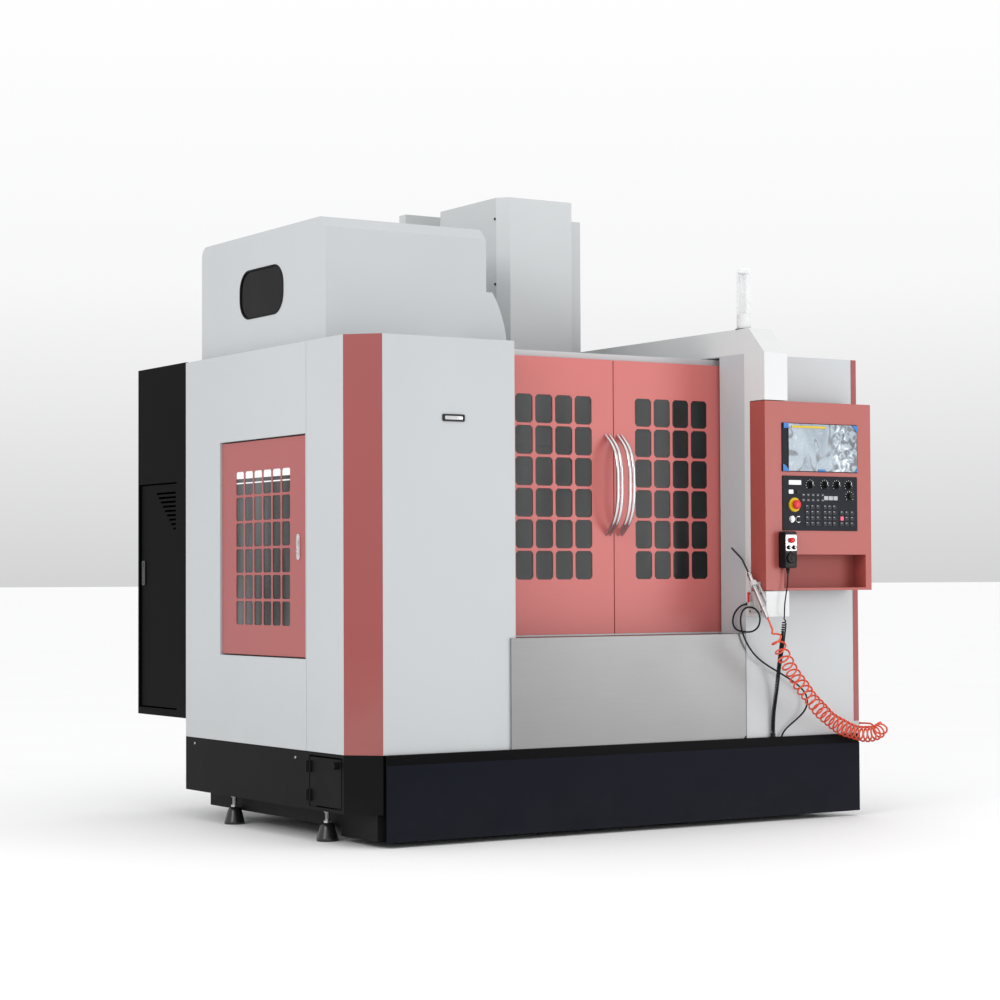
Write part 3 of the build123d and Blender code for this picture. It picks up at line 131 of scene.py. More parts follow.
def varied(material, sockets):
    """The material again, with the sockets that change over the surface linked."""
    tree = material.node_tree
    for socket, value in sockets.items():
        tree.links.new(value.socket, tree.nodes["Principled BSDF"].inputs[socket])
    return material


def cast_paint(name, colour):
    """Filled and brushed machine enamel over a casting."""
    enamel, place = blank_finish(name, {"Specular IOR Level": 0.5})
    patch = grain(place, 6.0, 5.0)
    return varied(enamel, {
        "Base Color": mottled(patch, colour, 0.84, 1.08),
        "Roughness": 0.34 + patch * 0.2,
        "Normal": relief(grain(place, 260.0, 3.0), 0.25, 0.0006),
    })


def ground_face(name, colour, stretch=(1.0, 60.0, 60.0)):
    """Bare steel with the fine parallel lines of a grinding wheel, and a thin film of oil."""
    metal, place = blank_finish(name, {"Metallic": 1.0})
    lines = grain(place, 24.0, 3.0, stretch)
    oil = grain(place, 5.0, 3.0)
    return varied(metal, {
        "Base Color": mottled(lines, colour, 0.8, 1.15),
        "Roughness": 0.2 + lines * 0.16 + oil * 0.1,
        "Normal": relief(lines, 0.12, 0.0003),
    })


def dress(node, finish):
    """A CAD solid that stays as it is and takes this finish."""
    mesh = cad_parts[node].data
    mesh.materials.clear()
    mesh.materials.append(finish)


casting_grey = cast_paint("casting enamel", (0.42, 0.45, 0.44, 1.0))
table_steel = ground_face("ground table", (0.56, 0.56, 0.55, 1.0))
spindle_steel = ground_face("spindle steel", (0.62, 0.62, 0.61, 1.0), stretch=(60.0, 60.0, 1.0))
for casting in ("bed", "column", "saddle", "head", "magazine_bracket"):
    dress(casting, casting_grey)
dress("table", table_steel)
for turned_part in ("spindle", "change_arm", "magazine_disc"):
    dress(turned_part, spindle_steel)


# Coolant tank, plinth and levelling feet
# Folded and welded black sheet round the foot of the bed, on cast bell feet with rods and lock nuts.
# The plinth stands close over the floor at the front and higher at the back, clear of the feet.
def in_scene(name, data):
    """A new object that holds this mesh, curve, lamp or camera."""
    made = bpy.data.objects.new(name, data)
    bpy.context.scene.collection.objects.link(made)
    return made


def plain_mesh(made):
    """What an object's curve or modifiers come to, as a mesh of its own."""
    return bpy.data.meshes.new_from_object(made.evaluated_get(bpy.context.evaluated_depsgraph_get()))


def piece(name, mesh, finish, body="machine", sharp=34):
    """A new piece on a body, its place in its mesh, its flat faces shaded flat up to the eased edges."""
    made = in_scene(name, mesh)
    mesh.materials.clear()
    mesh.materials.append(finish)
    mesh.shade_smooth()
    mesh.set_sharp_from_angle(angle=math.radians(sharp))
    shading = made.modifiers.new("flat faces", "WEIGHTED_NORMAL")
    shading.keep_sharp = True
    made.data = plain_mesh(made)
    made.modifiers.remove(shading)
    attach(made, body)
    return made


def mesh_of(form):
    """The form as a mesh, with its many-sided faces cut up."""
    many_sided = [face for face in form.faces if len(face.verts) > 4]
    bmesh.ops.triangulate(form, faces=many_sided, ngon_method="EAR_CLIP")
    mesh = bpy.data.meshes.new("form")
    form.to_mesh(mesh)
    form.free()
    for left_over in ("custom_normal", "sharp_face", "sharp_edge"):
        if left_over in mesh.attributes:
            mesh.attributes.remove(mesh.attributes[left_over])
    return mesh


def plain_form(node):
    """A merged copy of a CAD solid with its flat faces whole."""
    form = bmesh.new()
    form.from_mesh(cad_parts[node].data)
    bmesh.ops.remove_doubles(form, verts=form.verts[:], dist=1e-5)
    bmesh.ops.dissolve_limit(
        form, angle_limit=math.radians(0.6), verts=form.verts[:], edges=form.edges[:]
    )
    return form


sheet_ease = 0.0012


def ease_folds(form, width, least_angle=28):
    """Rounds every fold and corner of a form, as the bend of a sheet or a mould does."""
    folds = [
        edge for edge in form.edges
        if edge.is_manifold and edge.calc_face_angle() > math.radians(least_angle)
    ]
    bmesh.ops.bevel(
        form, geom=folds, offset=width, offset_type="OFFSET", segments=2, profile=0.5, affect="EDGES"
    )


def eased(node, finish, width=sheet_ease, body="machine"):
    """A CAD solid again, with its folds and corners rounded."""
    form = plain_form(node)
    ease_folds(form, width)
    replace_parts(piece(node + "_eased", mesh_of(form), finish, body), node)


def between(value, low, high):
    """Nought below low, one above high and a slope in between."""
    return value.node("ShaderNodeMapRange", {}, {"Value": value, "From Min": low, "From Max": high})


def along(place, axis):
    """How far a place lies along X, Y or Z."""
    return place.node("ShaderNodeSeparateXYZ", {}, {"Vector": place}, axis)


def powder_coat(name, colour, rough=0.4, coarse=520.0, dust=0.35, gloss=0.4):
    """Baked powder paint on sheet: orange peel, faint cloudiness and a little dust near the floor."""
    coat, place = blank_finish(name, {"Specular IOR Level": gloss})
    cloud = grain(place, 1.6, 4.0)
    peel = grain(place, coarse, 2.0)
    settled = (1.0 - between(along(place, "Z"), 0.0, 0.75)) * grain(place, 7.0, 6.0) * dust
    return varied(coat, {
        "Base Color": part_way(settled, mottled(cloud, colour, 0.95, 1.04), (0.36, 0.34, 0.31, 1.0)),
        "Roughness": rough + (peel - 0.5) * 0.1 + cloud * 0.06 + settled * 0.3,
        "Normal": relief(peel, 0.16, 0.0004),
    })


upright = Matrix.Identity(4)


def lathe(profile, turn=upright, steps=28):
    """A turned shape: radii and heights along its own axis, from the low end to the high one."""
    form = bmesh.new()
    rings = []
    for radius, height in profile:
        if radius < 1e-7:
            rings.append([form.verts.new(turn @ Vector((0.0, 0.0, height)))] * steps)
            continue
        angles = [2 * math.pi * step / steps for step in range(steps)]
        rings.append([
            form.verts.new(turn @ Vector((radius * math.cos(angle), radius * math.sin(angle), height)))
            for angle in angles
        ])
    for low, high in zip(rings, rings[1:]):
        for step in range(steps):
            after = (step + 1) % steps
            corners = [low[step], low[after], high[after], high[step]]
            if low[0] is low[1]:
                corners = [low[0], high[after], high[step]]
            elif high[0] is high[1]:
                corners = [low[step], low[after], high[0]]
            form.faces.new(corners)
    bmesh.ops.remove_doubles(form, verts=form.verts[:], dist=1e-7)
    return mesh_of(form)


def joined(*shapes):
    """Turned, cut and bent shapes as one mesh."""
    form = bmesh.new()
    for shape in shapes:
        form.from_mesh(shape)
    return mesh_of(form)


def set_out(name, shape, places, finish, body="machine", size=1.0):
    """One small form set out at a list of places by a node tree, and made into one plain piece."""
    pattern = in_scene(name + " form", shape)
    marks = bpy.data.meshes.new(name)
    marks.from_pydata(places, [], [])
    carrier = in_scene(name, marks)
    tree = bpy.data.node_groups.new(name, "GeometryNodeTree")
    ports = {
        label: tree.interface.new_socket(label, in_out=way, socket_type="NodeSocket" + kind)
        for label, way, kind in (
            ("Marks", "INPUT", "Geometry"), ("Form", "INPUT", "Object"), ("Size", "INPUT", "Float"),
            ("Finish", "INPUT", "Material"), ("Made", "OUTPUT", "Geometry"),
        )
    }
    start, end = tree.nodes.new("NodeGroupInput"), tree.nodes.new("NodeGroupOutput")
    source, copies, real, coat = [
        tree.nodes.new("GeometryNode" + kind)
        for kind in ("ObjectInfo", "InstanceOnPoints", "RealizeInstances", "SetMaterial")
    ]
    for giver, taker in (
        (start.outputs["Marks"], copies.inputs["Points"]),
        (start.outputs["Form"], source.inputs["Object"]),
        (source.outputs["Geometry"], copies.inputs["Instance"]),
        (start.outputs["Size"], copies.inputs["Scale"]),
        (copies.outputs["Instances"], real.inputs["Geometry"]),
        (real.outputs["Geometry"], coat.inputs["Geometry"]),
        (start.outputs["Finish"], coat.inputs["Material"]),
        (coat.outputs["Geometry"], end.inputs["Made"]),
    ):
        tree.links.new(giver, taker)
    modifier = carrier.modifiers.new(name, "NODES")
    modifier.node_group = tree
    for label, value in (("Form", pattern), ("Size", size), ("Finish", finish)):
        modifier[ports[label].identifier] = value
    mesh = plain_mesh(carrier)
    bpy.data.objects.remove(carrier)
    bpy.data.objects.remove(pattern)
    return piece(name, mesh, finish, body)


plinth_black = powder_coat(
    "plinth black", (0.006, 0.006, 0.0066, 1.0), rough=0.46, coarse=700.0, dust=0.03, gloss=0.06
)
eased("coolant_tank", plinth_black)

bell_iron = powder_coat(
    "bell iron", (0.009, 0.009, 0.0095, 1.0), rough=0.22, coarse=700.0, dust=0.02, gloss=0.5
)
zinc_bright = ground_face("zinc bright", (0.6, 0.6, 0.6, 1.0), stretch=(40.0, 40.0, 2.0))
foot_places = [(x, y, 0.0) for x in (-1.186, 1.171) for y in (-0.555, 0.285)]
foot_places += [(x, y, 0.0) for x in (-0.220, 0.380) for y in (-0.630, 0.870)]
bell_profile = [
    (0.0, 0.0), (0.0440, 0.0), (0.0450, 0.003), (0.0446, 0.009), (0.0430, 0.015), (0.0402, 0.024),
    (0.0368, 0.036), (0.0334, 0.048), (0.0300, 0.058), (0.0256, 0.066), (0.0205, 0.071), (0.0, 0.072),
]
bells = set_out("foot_bells", lathe(bell_profile, steps=36), foot_places, bell_iron)
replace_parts(bells, "levelling_feet")

rod_radius, rod_low, rod_high = 0.0100, 0.070, 0.1146
thread_root, thread_low, thread_pitch = 0.0090, 0.0835, 0.0043
rod_profile = [(0.0, rod_low), (rod_radius, rod_low)]
for crest in (thread_low + turn * thread_pitch for turn in range(7)):
    rod_profile += [(rod_radius, crest), (thread_root, crest + 0.0021)]
rod_profile += [(rod_radius, 0.1145), (0.0, rod_high)]
nut_profile = [
    (0.0, 0.0), (0.0150, 0.0), (0.0170, 0.0018), (0.0170, 0.0098), (0.0150, 0.0116), (0.0, 0.0116),
]
nuts = [lathe(nut_profile, Matrix.Translation((0.0, 0.0, low)), steps=6) for low in (0.0715, rod_high)]
foot_rod = joined(lathe(rod_profile, steps=18), *nuts)
set_out("foot_rods", foot_rod, foot_places, zinc_bright)


# Base cover, skirts and hatch
# Folded sheet round the base: black band and dark blue plate in front, black skirts at the sides.
# The left skirt turns the corner and has a small hatch on two barrel hinges with a round knob.
def banded_coat(name, lower, upper, level):
    """Two powder coats on one folded cover, the colours meeting at a level."""
    coat, place = blank_finish(name, {"Specular IOR Level": 0.06})
    height = along(place, "Z")
    cloud = grain(place, 2.2, 5.0)
    peel = grain(place, 600.0, 2.0)
    settled = (1.0 - between(height, 0.0, 0.3)) * grain(place, 9.0, 6.0) * 0.04
    above = between(height, level - 0.0005, level + 0.0005)
    paint = part_way(above, mottled(cloud, lower, 0.85, 1.2), upper)
    return varied(coat, {
        "Base Color": part_way(settled, paint, (0.2, 0.19, 0.18, 1.0)),
        "Roughness": 0.36 + cloud * 0.1 + (peel - 0.5) * 0.08 + settled,
        "Normal": relief(peel, 0.14, 0.0004),
    })


def facing(side, x=0.0, y=0.0, z=0.0):
    """Stands a form up so that its own axis points to a side of the machine, and puts it at a place."""
    across = Vector({"front": (1, 0, 0), "left": (0, -1, 0), "right": (0, 1, 0), "rear": (-1, 0, 0)}[side])
    up = Vector((0, 0, 1))
    return Matrix.Translation((x, y, z)) @ Matrix((across, up, across.cross(up))).transposed().to_4x4()


def screw_row(name, radius, turn, places, finish, body="machine"):
    """Pan-head screws with a socket in the head, set out at a list of places."""
    head = lathe(
        [
            (0.0, 0.0), (radius, 0.0), (radius, radius * 0.3), (radius * 0.84, radius * 0.6),
            (radius * 0.46, radius * 0.7), (radius * 0.4, radius * 0.3), (0.0, radius * 0.3),
        ],
        turn, steps=12,
    )
    set_out(name, head, places, finish, body)


base_navy = banded_coat(
    "base navy", lower=(0.0052, 0.0062, 0.0115, 1.0), upper=(0.0012, 0.0012, 0.0018, 1.0), level=0.321
)
skirt_black = powder_coat(
    "skirt black", (0.0050, 0.0050, 0.0052, 1.0), rough=0.44, coarse=640.0, dust=0.02, gloss=0.05
)
eased("base_front_cover", base_navy)
eased("side_skirts", skirt_black)
eased("skirt_door", skirt_black, width=0.001, body="skirt_door")
skirt_face, sheet_screw = -1.260, 0.0055
skirt_screws = [(skirt_face, 0.524, 0.335), (skirt_face, -0.423, 0.329)]
screw_row("skirt_screws", sheet_screw, facing("left"), skirt_screws, zinc_bright)


# Housing panels, roof and chip pans
# Folded steel sheet with a pale grey powder coat, bolted to each other and to the bed.
# Each side is two sheets that meet in a joint; zinc-plated screws hold the right side, rear and roof.
def jointed(node, joint_y, joint_gap=0.002):
    """A side of the housing as two sheets that meet in a narrow joint."""
    halves = []
    for side in (-1, 1):
        half = plain_form(node)
        bmesh.ops.bisect_plane(
            half,
            geom=half.verts[:] + half.edges[:] + half.faces[:],
            plane_co=(0.0, joint_y + side * joint_gap / 2, 0.0),
            plane_no=(0.0, -side, 0.0),
            clear_outer=True,
        )
        bmesh.ops.holes_fill(half, edges=[edge for edge in half.edges if edge.is_boundary], sides=0)
        bmesh.ops.recalc_face_normals(half, faces=half.faces[:])
        ease_folds(half, sheet_ease)
        halves.append(mesh_of(half))
    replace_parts(piece(node + "_sheets", joined(*halves), housing_white), node)


def loop_box(low_u, low_v, high_u, high_v, corner, steps=5, inset=0.0):
    """A closed loop round a box with rounded corners, or inside it by an inset."""
    loop = []
    for corner_u, corner_v, start in (
        (high_u - inset - corner, high_v - inset - corner, 0.0),
        (low_u + inset + corner, high_v - inset - corner, 0.5),
        (low_u + inset + corner, low_v + inset + corner, 1.0),
        (high_u - inset - corner, low_v + inset + corner, 1.5),
    ):
        for step in range(steps + 1):
            angle = math.pi * (start + 0.5 * step / steps)
            loop.append((corner_u + corner * math.cos(angle), corner_v + corner * math.sin(angle)))
    return loop


def curve_mesh(curve):
    """A curve with its fill or thickness as a mesh."""
    holder = in_scene("curve", curve)
    mesh = plain_mesh(holder)
    bpy.data.objects.remove(holder)
    return mesh


def cut_sheet(loops, thickness, ease, axis, middle):
    """A sheet cut along loops, the first its outline and the rest its holes, with eased edges.

    It lies square to an axis with its middle there, and its loops are drawn in the other two axes."""
    flat = bpy.data.curves.new("cut sheet", "CURVE")
    flat.dimensions = "2D"
    flat.fill_mode = "BOTH"
    flat.extrude = thickness / 2 - ease
    flat.bevel_depth = ease
    flat.bevel_resolution = 1
    for loop in loops:
        spline = flat.splines.new("POLY")
        spline.points.add(len(loop) - 1)
        for point, (u, v) in zip(spline.points, loop):
            point.co = (u, v, 0.0, 1.0)
        spline.use_cyclic_u = True
    mesh = curve_mesh(flat)
    turns = {"x": facing("right", x=middle), "y": facing("front", y=middle)}
    mesh.transform(turns.get(axis, Matrix.Translation((0.0, 0.0, middle))))
    form = bmesh.new()
    form.from_mesh(mesh)
    bmesh.ops.remove_doubles(form, verts=form.verts[:], dist=1e-6)
    bmesh.ops.recalc_face_normals(form, faces=form.faces[:])
    return mesh_of(form)


housing_white = powder_coat("housing white", (0.490, 0.512, 0.526, 1.0))
inside_white = powder_coat("inside white", (0.58, 0.58, 0.57, 1.0), rough=0.45, dust=0.5)
eased("front_panels", housing_white)
eased("roof_and_rear", housing_white)
dress("chip_pans", inside_white)
jointed("left_side_panel", -0.517)
jointed("right_side_panel", -0.120)

sheet = 0.003
fillers = [
    cut_sheet([loop_box(low_x, 0.620, high_x, high_z, 0.002, 2)], sheet, 0.0006, "y", 0.6120)
    for low_x, high_x, high_z in ((-0.384, -0.296, 1.550), (0.456, 0.522, 2.000))
]
piece("column_fillers", joined(*fillers), housing_white)

housing_right, housing_rear, housing_top = 1.260, 0.619, 2.005
end_heights, mid_heights = (0.385, 1.980), (0.780, 1.180, 1.580)
right_screws = [
    (housing_right, y, z) for y in (-0.790, -0.455, -0.140, -0.100, 0.250, 0.595) for z in end_heights
]
right_screws += [(housing_right, y, z) for y in (-0.140, -0.100, 0.595) for z in mid_heights]
rear_screws = [(x, housing_rear, z) for x in (0.545, 0.900, 1.232) for z in end_heights]
rear_screws += [(x, housing_rear, z) for x in (0.545, 1.232) for z in mid_heights]
roof_screws = [(x, y, housing_top) for x in (0.800, 1.232) for y in (-0.700, -0.270, 0.160, 0.590)]
roof_screws += [(x, y, housing_top) for x in (-0.900, -0.620) for y in (-0.905, -0.600)]
roof_screws += [(-1.228, y, housing_top) for y in (-0.500, -0.020, 0.460)]
for row_name, turn, places in (
    ("right_side_screws", facing("right"), right_screws),
    ("rear_screws", facing("rear"), rear_screws),
    ("roof_screws", upright, roof_screws),
):
    screw_row(row_name, sheet_screw, turn, places, zinc_bright)


# Corner post and corner strip
# The coral red post at the left front is a wide folded sheet across the corner of the housing.
# At the right front a narrow angle of thin sheet, folded once, covers the corner of the housing.
# Painted light and shade: the posts and corner strip carry the doors' coral red, set darker by how light
# falls there.
post_red = powder_coat("post red", (0.295, 0.062, 0.058, 1.0), rough=0.42)
eased("corner_posts", post_red)
strip_left, strip_right, strip_front, strip_rear = 1.2310, 1.2612, -0.9412, -0.8780
strip_low, strip_high, strip_sheet, strip_bend = 0.414, 2.005, 0.0012, 0.004
outer_bend, inner_bend = [
    [
        (
            strip_right - strip_bend + radius * math.sin(math.radians(angle)),
            strip_front + strip_bend - radius * math.cos(math.radians(angle)),
        )
        for angle in range(0, 91, 18)
    ]
    for radius in (strip_bend, strip_bend - strip_sheet)
]
strip_loop = [(strip_left, strip_front)] + outer_bend
strip_loop += [(strip_right, strip_rear), (strip_right - strip_sheet, strip_rear)]
strip_loop += inner_bend[::-1] + [(strip_left, strip_front + strip_sheet)]
corner_strip = cut_sheet([strip_loop], strip_high - strip_low, 0.0003, "z", (strip_low + strip_high) / 2)
piece("right_corner_strip", corner_strip, post_red)


# Front doors
# Two folded leaves with a grid of windows cut out of the face, sliding between a sill and a header.
# A single tinted polycarbonate pane is clamped behind each grid; the coat is the same coral red as the posts.
def tinted_pane(name, colour, clear, gloss=0.4):
    """Smoked polycarbonate: glossy, faintly scratched and streaked with dried coolant."""
    pane, place = blank_finish(name, {"Specular IOR Level": gloss})
    streak = grain(place, 6.0, 3.0, (1.0, 1.0, 0.10))
    drape = grain(place, 3.2, 2.0, (1.0, 1.0, 0.45))
    scratch = grain(place, 60.0, 4.0, (1.0, 1.0, 0.25))
    veil = between(streak * 0.6 + drape * 0.4, 0.36, 0.66)
    return varied(pane, {
        "Base Color": mottled(veil, colour, 0.2, 2.6),
        "Roughness": 0.05 + streak * 0.08 + scratch * 0.04,
        "Alpha": (1.0 - clear) + veil * clear * 0.5,
        "Normal": relief(grain(place, 3.0), 0.04, 0.002),
    })


def window_grid(start, pitch, counts, size, corner, steps):
    """The loops of a grid of windows: its first corner, then pitch, number and size, across and upwards."""
    return [
        loop_box(u, v, u + size[0], v + size[1], corner, steps)
        for u in (start[0] + column * pitch[0] for column in range(counts[0]))
        for v in (start[1] + row * pitch[1] for row in range(counts[1]))
    ]


def folded_leaf(box, windows, depth, axis, face):
    """A door leaf: a face sheet pierced by its windows, and the flange that is folded back round its rim."""
    pierced = [loop_box(*box, 0.003, 2, 0.001)] + windows
    flange = [loop_box(*box, 0.003, 2, 0.0013), loop_box(*box, 0.002, 2, 0.004)]
    return joined(
        cut_sheet(pierced, sheet, 0.001, axis, face + sheet / 2),
        cut_sheet(flange, depth - sheet / 2, 0.0004, axis, face + (sheet / 2 + depth) / 2),
    )


door_front, door_depth, door_low, door_high = -0.755, 0.028, 0.812, 1.968
window_pitch, window_size, window_corner, grid_low = (0.0987, 0.130), (0.087, 0.121), 0.012, 1.040
door_pane = tinted_pane("door pane", (0.020, 0.022, 0.022, 1.0), clear=0.24, gloss=0.16)
# Painted light and shade: the doors' coral red is set lighter than the same paint on the posts, side door and
# console.
door_red = powder_coat("door red", (0.545, 0.140, 0.130, 1.0), rough=0.38)
for side, low_x, high_x, grid_x in (("left", -0.554, 0.078, -0.4141), ("right", 0.082, 0.714, 0.191)):
    windows = window_grid((grid_x, grid_low), window_pitch, (4, 6), window_size, window_corner, 1)
    leaf = folded_leaf((low_x, door_low, high_x, door_high), windows, door_depth, "y", door_front)
    leaf_piece = piece(side + "_door_leaf", leaf, door_red, side + "_door")
    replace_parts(leaf_piece, side + "_door")
    dress(side + "_door_pane", door_pane)
dress("door_tracks", housing_white)


# Flush latch on the left front panel
# A black moulded frame clipped into the sheet, with a chromed paddle that is pressed and turned to open.
def loop_about(u, v, wide, tall, corner, steps=5):
    """A closed loop round a box that is given by its middle and size."""
    return loop_box(u - wide / 2, v - tall / 2, u + wide / 2, v + tall / 2, corner, steps)


def chrome_plate(name, colour=(0.72, 0.72, 0.73, 1.0), rough=0.1):
    """Bright nickel and chrome on polished steel, with faint hand marks."""
    plate, place = blank_finish(name, {"Metallic": 1.0})
    smear = grain(place, 16.0, 4.0)
    return varied(plate, {
        "Base Color": mottled(smear, colour, 0.92, 1.05),
        "Roughness": rough + between(smear, 0.4, 0.8) * 0.12,
    })


latch_black = powder_coat(
    "latch black", (0.010, 0.010, 0.011, 1.0), rough=0.36, coarse=900.0, dust=0.0, gloss=0.3
)
handle_chrome = chrome_plate("handle chrome")
latch_at, latch_front = (-0.8235, 1.684), -0.945
latch_rim = [loop_about(*latch_at, 0.1010, 0.0270, 0.005), loop_about(*latch_at, 0.0910, 0.0176, 0.003)]
latch_frame = joined(
    cut_sheet(latch_rim, 0.005, 0.001, "y", latch_front + 0.0025),
    cut_sheet([loop_about(*latch_at, 0.0960, 0.0224, 0.004)], 0.001, 0.0002, "y", latch_front + 0.0042),
)
piece("flush_latch_frame", latch_frame, latch_black)
latch_paddle = cut_sheet(
    [loop_about(*latch_at, 0.0800, 0.0124, 0.0028)], 0.004, 0.0012, "y", latch_front + 0.0020
)
piece("flush_latch_paddle", latch_paddle, handle_chrome)


# Bow handles
# Four chromed steel tubes bent to a bow, two on each leaf, screwed to the sheet from behind.
# A gripping hand reaches both leaves together at the middle seam.
def bent_line(name, points, fineness, radius=0.0, roundness=0):
    """A smooth open line steered by points, with a thickness where it has a radius."""
    curve = bpy.data.curves.new(name, "CURVE")
    curve.dimensions = "3D"
    curve.resolution_u = fineness
    curve.bevel_depth = radius
    curve.bevel_resolution = roundness
    curve.use_fill_caps = True
    spline = curve.splines.new("NURBS")
    spline.points.add(len(points) - 1)
    for point, place in zip(spline.points, points):
        point.co = (*place, 1.0)
    spline.order_u = 3
    spline.use_endpoint_u = True
    return curve


seam_x, bar_near, bar_pitch, bar_radius = 0.080, 0.021, 0.020, 0.007
bow_z, bow_reach = 1.4395, 0.088
half_bow = [(0.001, 0.2105), (-0.030, 0.1845), (-0.060, 0.1525), (-0.080, 0.1105), (-bow_reach, 0.0605)]
bow_line = half_bow + [(-bow_reach, 0.0)] + [(away, -rise) for away, rise in reversed(half_bow)]
for side, outwards in (("left", -1), ("right", 1)):
    bars = []
    for bar_x in (seam_x + outwards * (bar_near + bar * bar_pitch) for bar in range(2)):
        bar_line = [(bar_x, door_front + away, bow_z + rise) for away, rise in bow_line]
        bars.append(curve_mesh(bent_line("bar", bar_line, fineness=8, radius=bar_radius, roundness=5)))
    handle = piece(side + "_bow_handle", joined(*bars), handle_chrome, side + "_door")
    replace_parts(handle, side + "_door_handle")


# Apron
# One stainless sheet below the doors, brushed lengthwise, folded back at the top to meet the sill.
# It is left bare so that chips and coolant do not spoil a coat.
def brushed_sheet(name, colour):
    """Stainless sheet brushed along X, with handling marks."""
    steel, place = blank_finish(name, {"Metallic": 1.0})
    lines = grain(place, 14.0, 4.0, (0.35, 40.0, 70.0))
    fine = grain(place, 60.0, 2.0, (0.25, 30.0, 60.0))
    return varied(steel, {
        "Base Color": mottled(lines, colour, 0.86, 1.1),
        "Roughness": 0.3 + fine * 0.14 + grain(place, 2.4, 4.0) * 0.08,
        "Normal": relief(lines + fine, 0.08, 0.0003),
    })


eased("apron", brushed_sheet("apron steel", (0.225, 0.225, 0.225, 1.0)))


# Side door
# Framed leaf with a grid of tall windows, flush in the left side and turning on pins at its rear edge.
# A smoked pane lies behind the grid, and a chromed paddle latch with a lock sits at the front edge.
side_face, side_depth = -1.252, 0.024
# Painted light and shade: the side door's coral red is set darker than the same paint on the front doors.
side_red = powder_coat("side door red", (0.36, 0.090, 0.086, 1.0), rough=0.36)
windows = window_grid((-0.3615, 0.856), (0.0845, 0.1092), (6, 6), (0.073, 0.101), window_corner, 5)
side_leaf = folded_leaf((-0.504, 0.732, 0.269, 1.627), windows, side_depth, "x", side_face)
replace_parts(piece("side_door_leaf", side_leaf, side_red, "side_door"), "side_door")
# Painted light: the side pane's smoke is set lighter than the door panes', for the light that shows through
# it.
dress("side_door_pane", tinted_pane("side pane", (0.060, 0.064, 0.064, 1.0), clear=0.26, gloss=0.2))

latch_y, latch_plate = -0.436, 0.004
plate_loop = loop_about(latch_y, 1.1775, 0.026, 0.103, 0.0129, 8)
paddle_loop = loop_about(latch_y, 1.1925, 0.015, 0.027, 0.004)
latch_shapes = [
    cut_sheet([plate_loop], latch_plate, 0.0014, "x", side_face - latch_plate / 2),
    cut_sheet([paddle_loop], 0.004, 0.0012, "x", side_face - 0.0056),
]
screw_profile = [
    (0.0, 0.0), (0.0052, 0.0), (0.0046, 0.0016), (0.0016, 0.0019), (0.0012, 0.0008), (0.0, 0.0008),
]
lock_profile = [
    (0.0, 0.0), (0.0095, 0.0), (0.0095, 0.0030), (0.0080, 0.0042), (0.0034, 0.0044), (0.0030, 0.0012),
    (0.0, 0.0012),
]
for profile, z, steps in (
    (screw_profile, 1.1395, 14), (screw_profile, 1.2155, 14), (lock_profile, 1.1640, 24),
):
    latch_shapes.append(lathe(profile, facing("left", side_face - latch_plate, latch_y, z), steps=steps))
piece("side_door_latch", joined(*latch_shapes), handle_chrome, "side_door")

# Painted highlight: two pale strips seen through the top row of side windows stand in for the light reflected
# there.
highlight_pale = powder_coat("highlight pale", (0.86, 0.87, 0.87, 1.0), rough=0.5, coarse=900.0, dust=0.0, gloss=0.3)
highlight_strips = [
    cut_sheet([loop_box(-0.376, low_z, 0.148, high_z, 0.002, 2)], 0.0006, 0.0001, "x", -1.2494)
    for low_z, high_z in ((1.4720, 1.5060), (1.4505, 1.4555))
]
piece("pane_edge_strip", joined(*highlight_strips), highlight_pale, "side_door")


# Magazine cover
# Large folded hood over the tool magazine, closed at its side by a wing, with an obround window.
# It lifts off after a few screws are undone; a dark pane is held behind the window by a rubber lip.
eased("magazine_cover", housing_white)
lip_rubber = powder_coat(
    "lip rubber", (0.008, 0.008, 0.008, 1.0), rough=0.6, coarse=900.0, dust=0.0, gloss=0.1
)
lip_box, lip_round, lip_wide = (-0.191, 2.156, 0.215, 2.364), 0.086, 0.005
lip_loops = [loop_box(*lip_box, lip_round - inset, 10, inset) for inset in (0.0, lip_wide)]
window_lip = cut_sheet(lip_loops, 0.006, 0.0012, "x", -1.1925)
piece("magazine_window_lip", window_lip, lip_rubber)
dress("magazine_window", tinted_pane("magazine pane", (0.004, 0.004, 0.0045, 1.0), clear=0.08, gloss=0.06))


# Head and column covers
# Folded sheet round the headstock, riding up and down with it, and a fixed one over the column's drive.
# The bare rear of the column has a screwed hatch plate, and its top two forged lifting eyes.
# Painted light: the head and column covers carry a lighter copy of the housing white, lifting the shade under
# the roof.
lit_cover_white = powder_coat("cover white", (0.575, 0.595, 0.605, 1.0))
eased("head_covers", lit_cover_white, body="head")
eased("column_cover", lit_cover_white)
screw_black = cast_paint("blackened screw", (0.012, 0.012, 0.012, 1.0))
cover_screw = 0.0065
cover_screws = [(-0.106, y, z) for y in (-0.118, 0.330) for z in (2.636, 2.347, 2.107, 1.830)]
screw_row("head_cover_screws", cover_screw, facing("left"), cover_screws, screw_black, "head")

hatch_rear, hatch_sheet = 1.004, 0.004
column_hatch = cut_sheet(
    [loop_box(-0.080, 1.150, 0.240, 1.850, 0.030)], hatch_sheet, 0.001, "y", hatch_rear - hatch_sheet / 2
)
piece("column_hatch", column_hatch, casting_grey)
hatch_screws = [(x, hatch_rear, z) for x in (-0.060, 0.220) for z in (1.175, 1.390, 1.610, 1.825)]
screw_row("column_hatch_screws", cover_screw, facing("rear"), hatch_screws, screw_black)

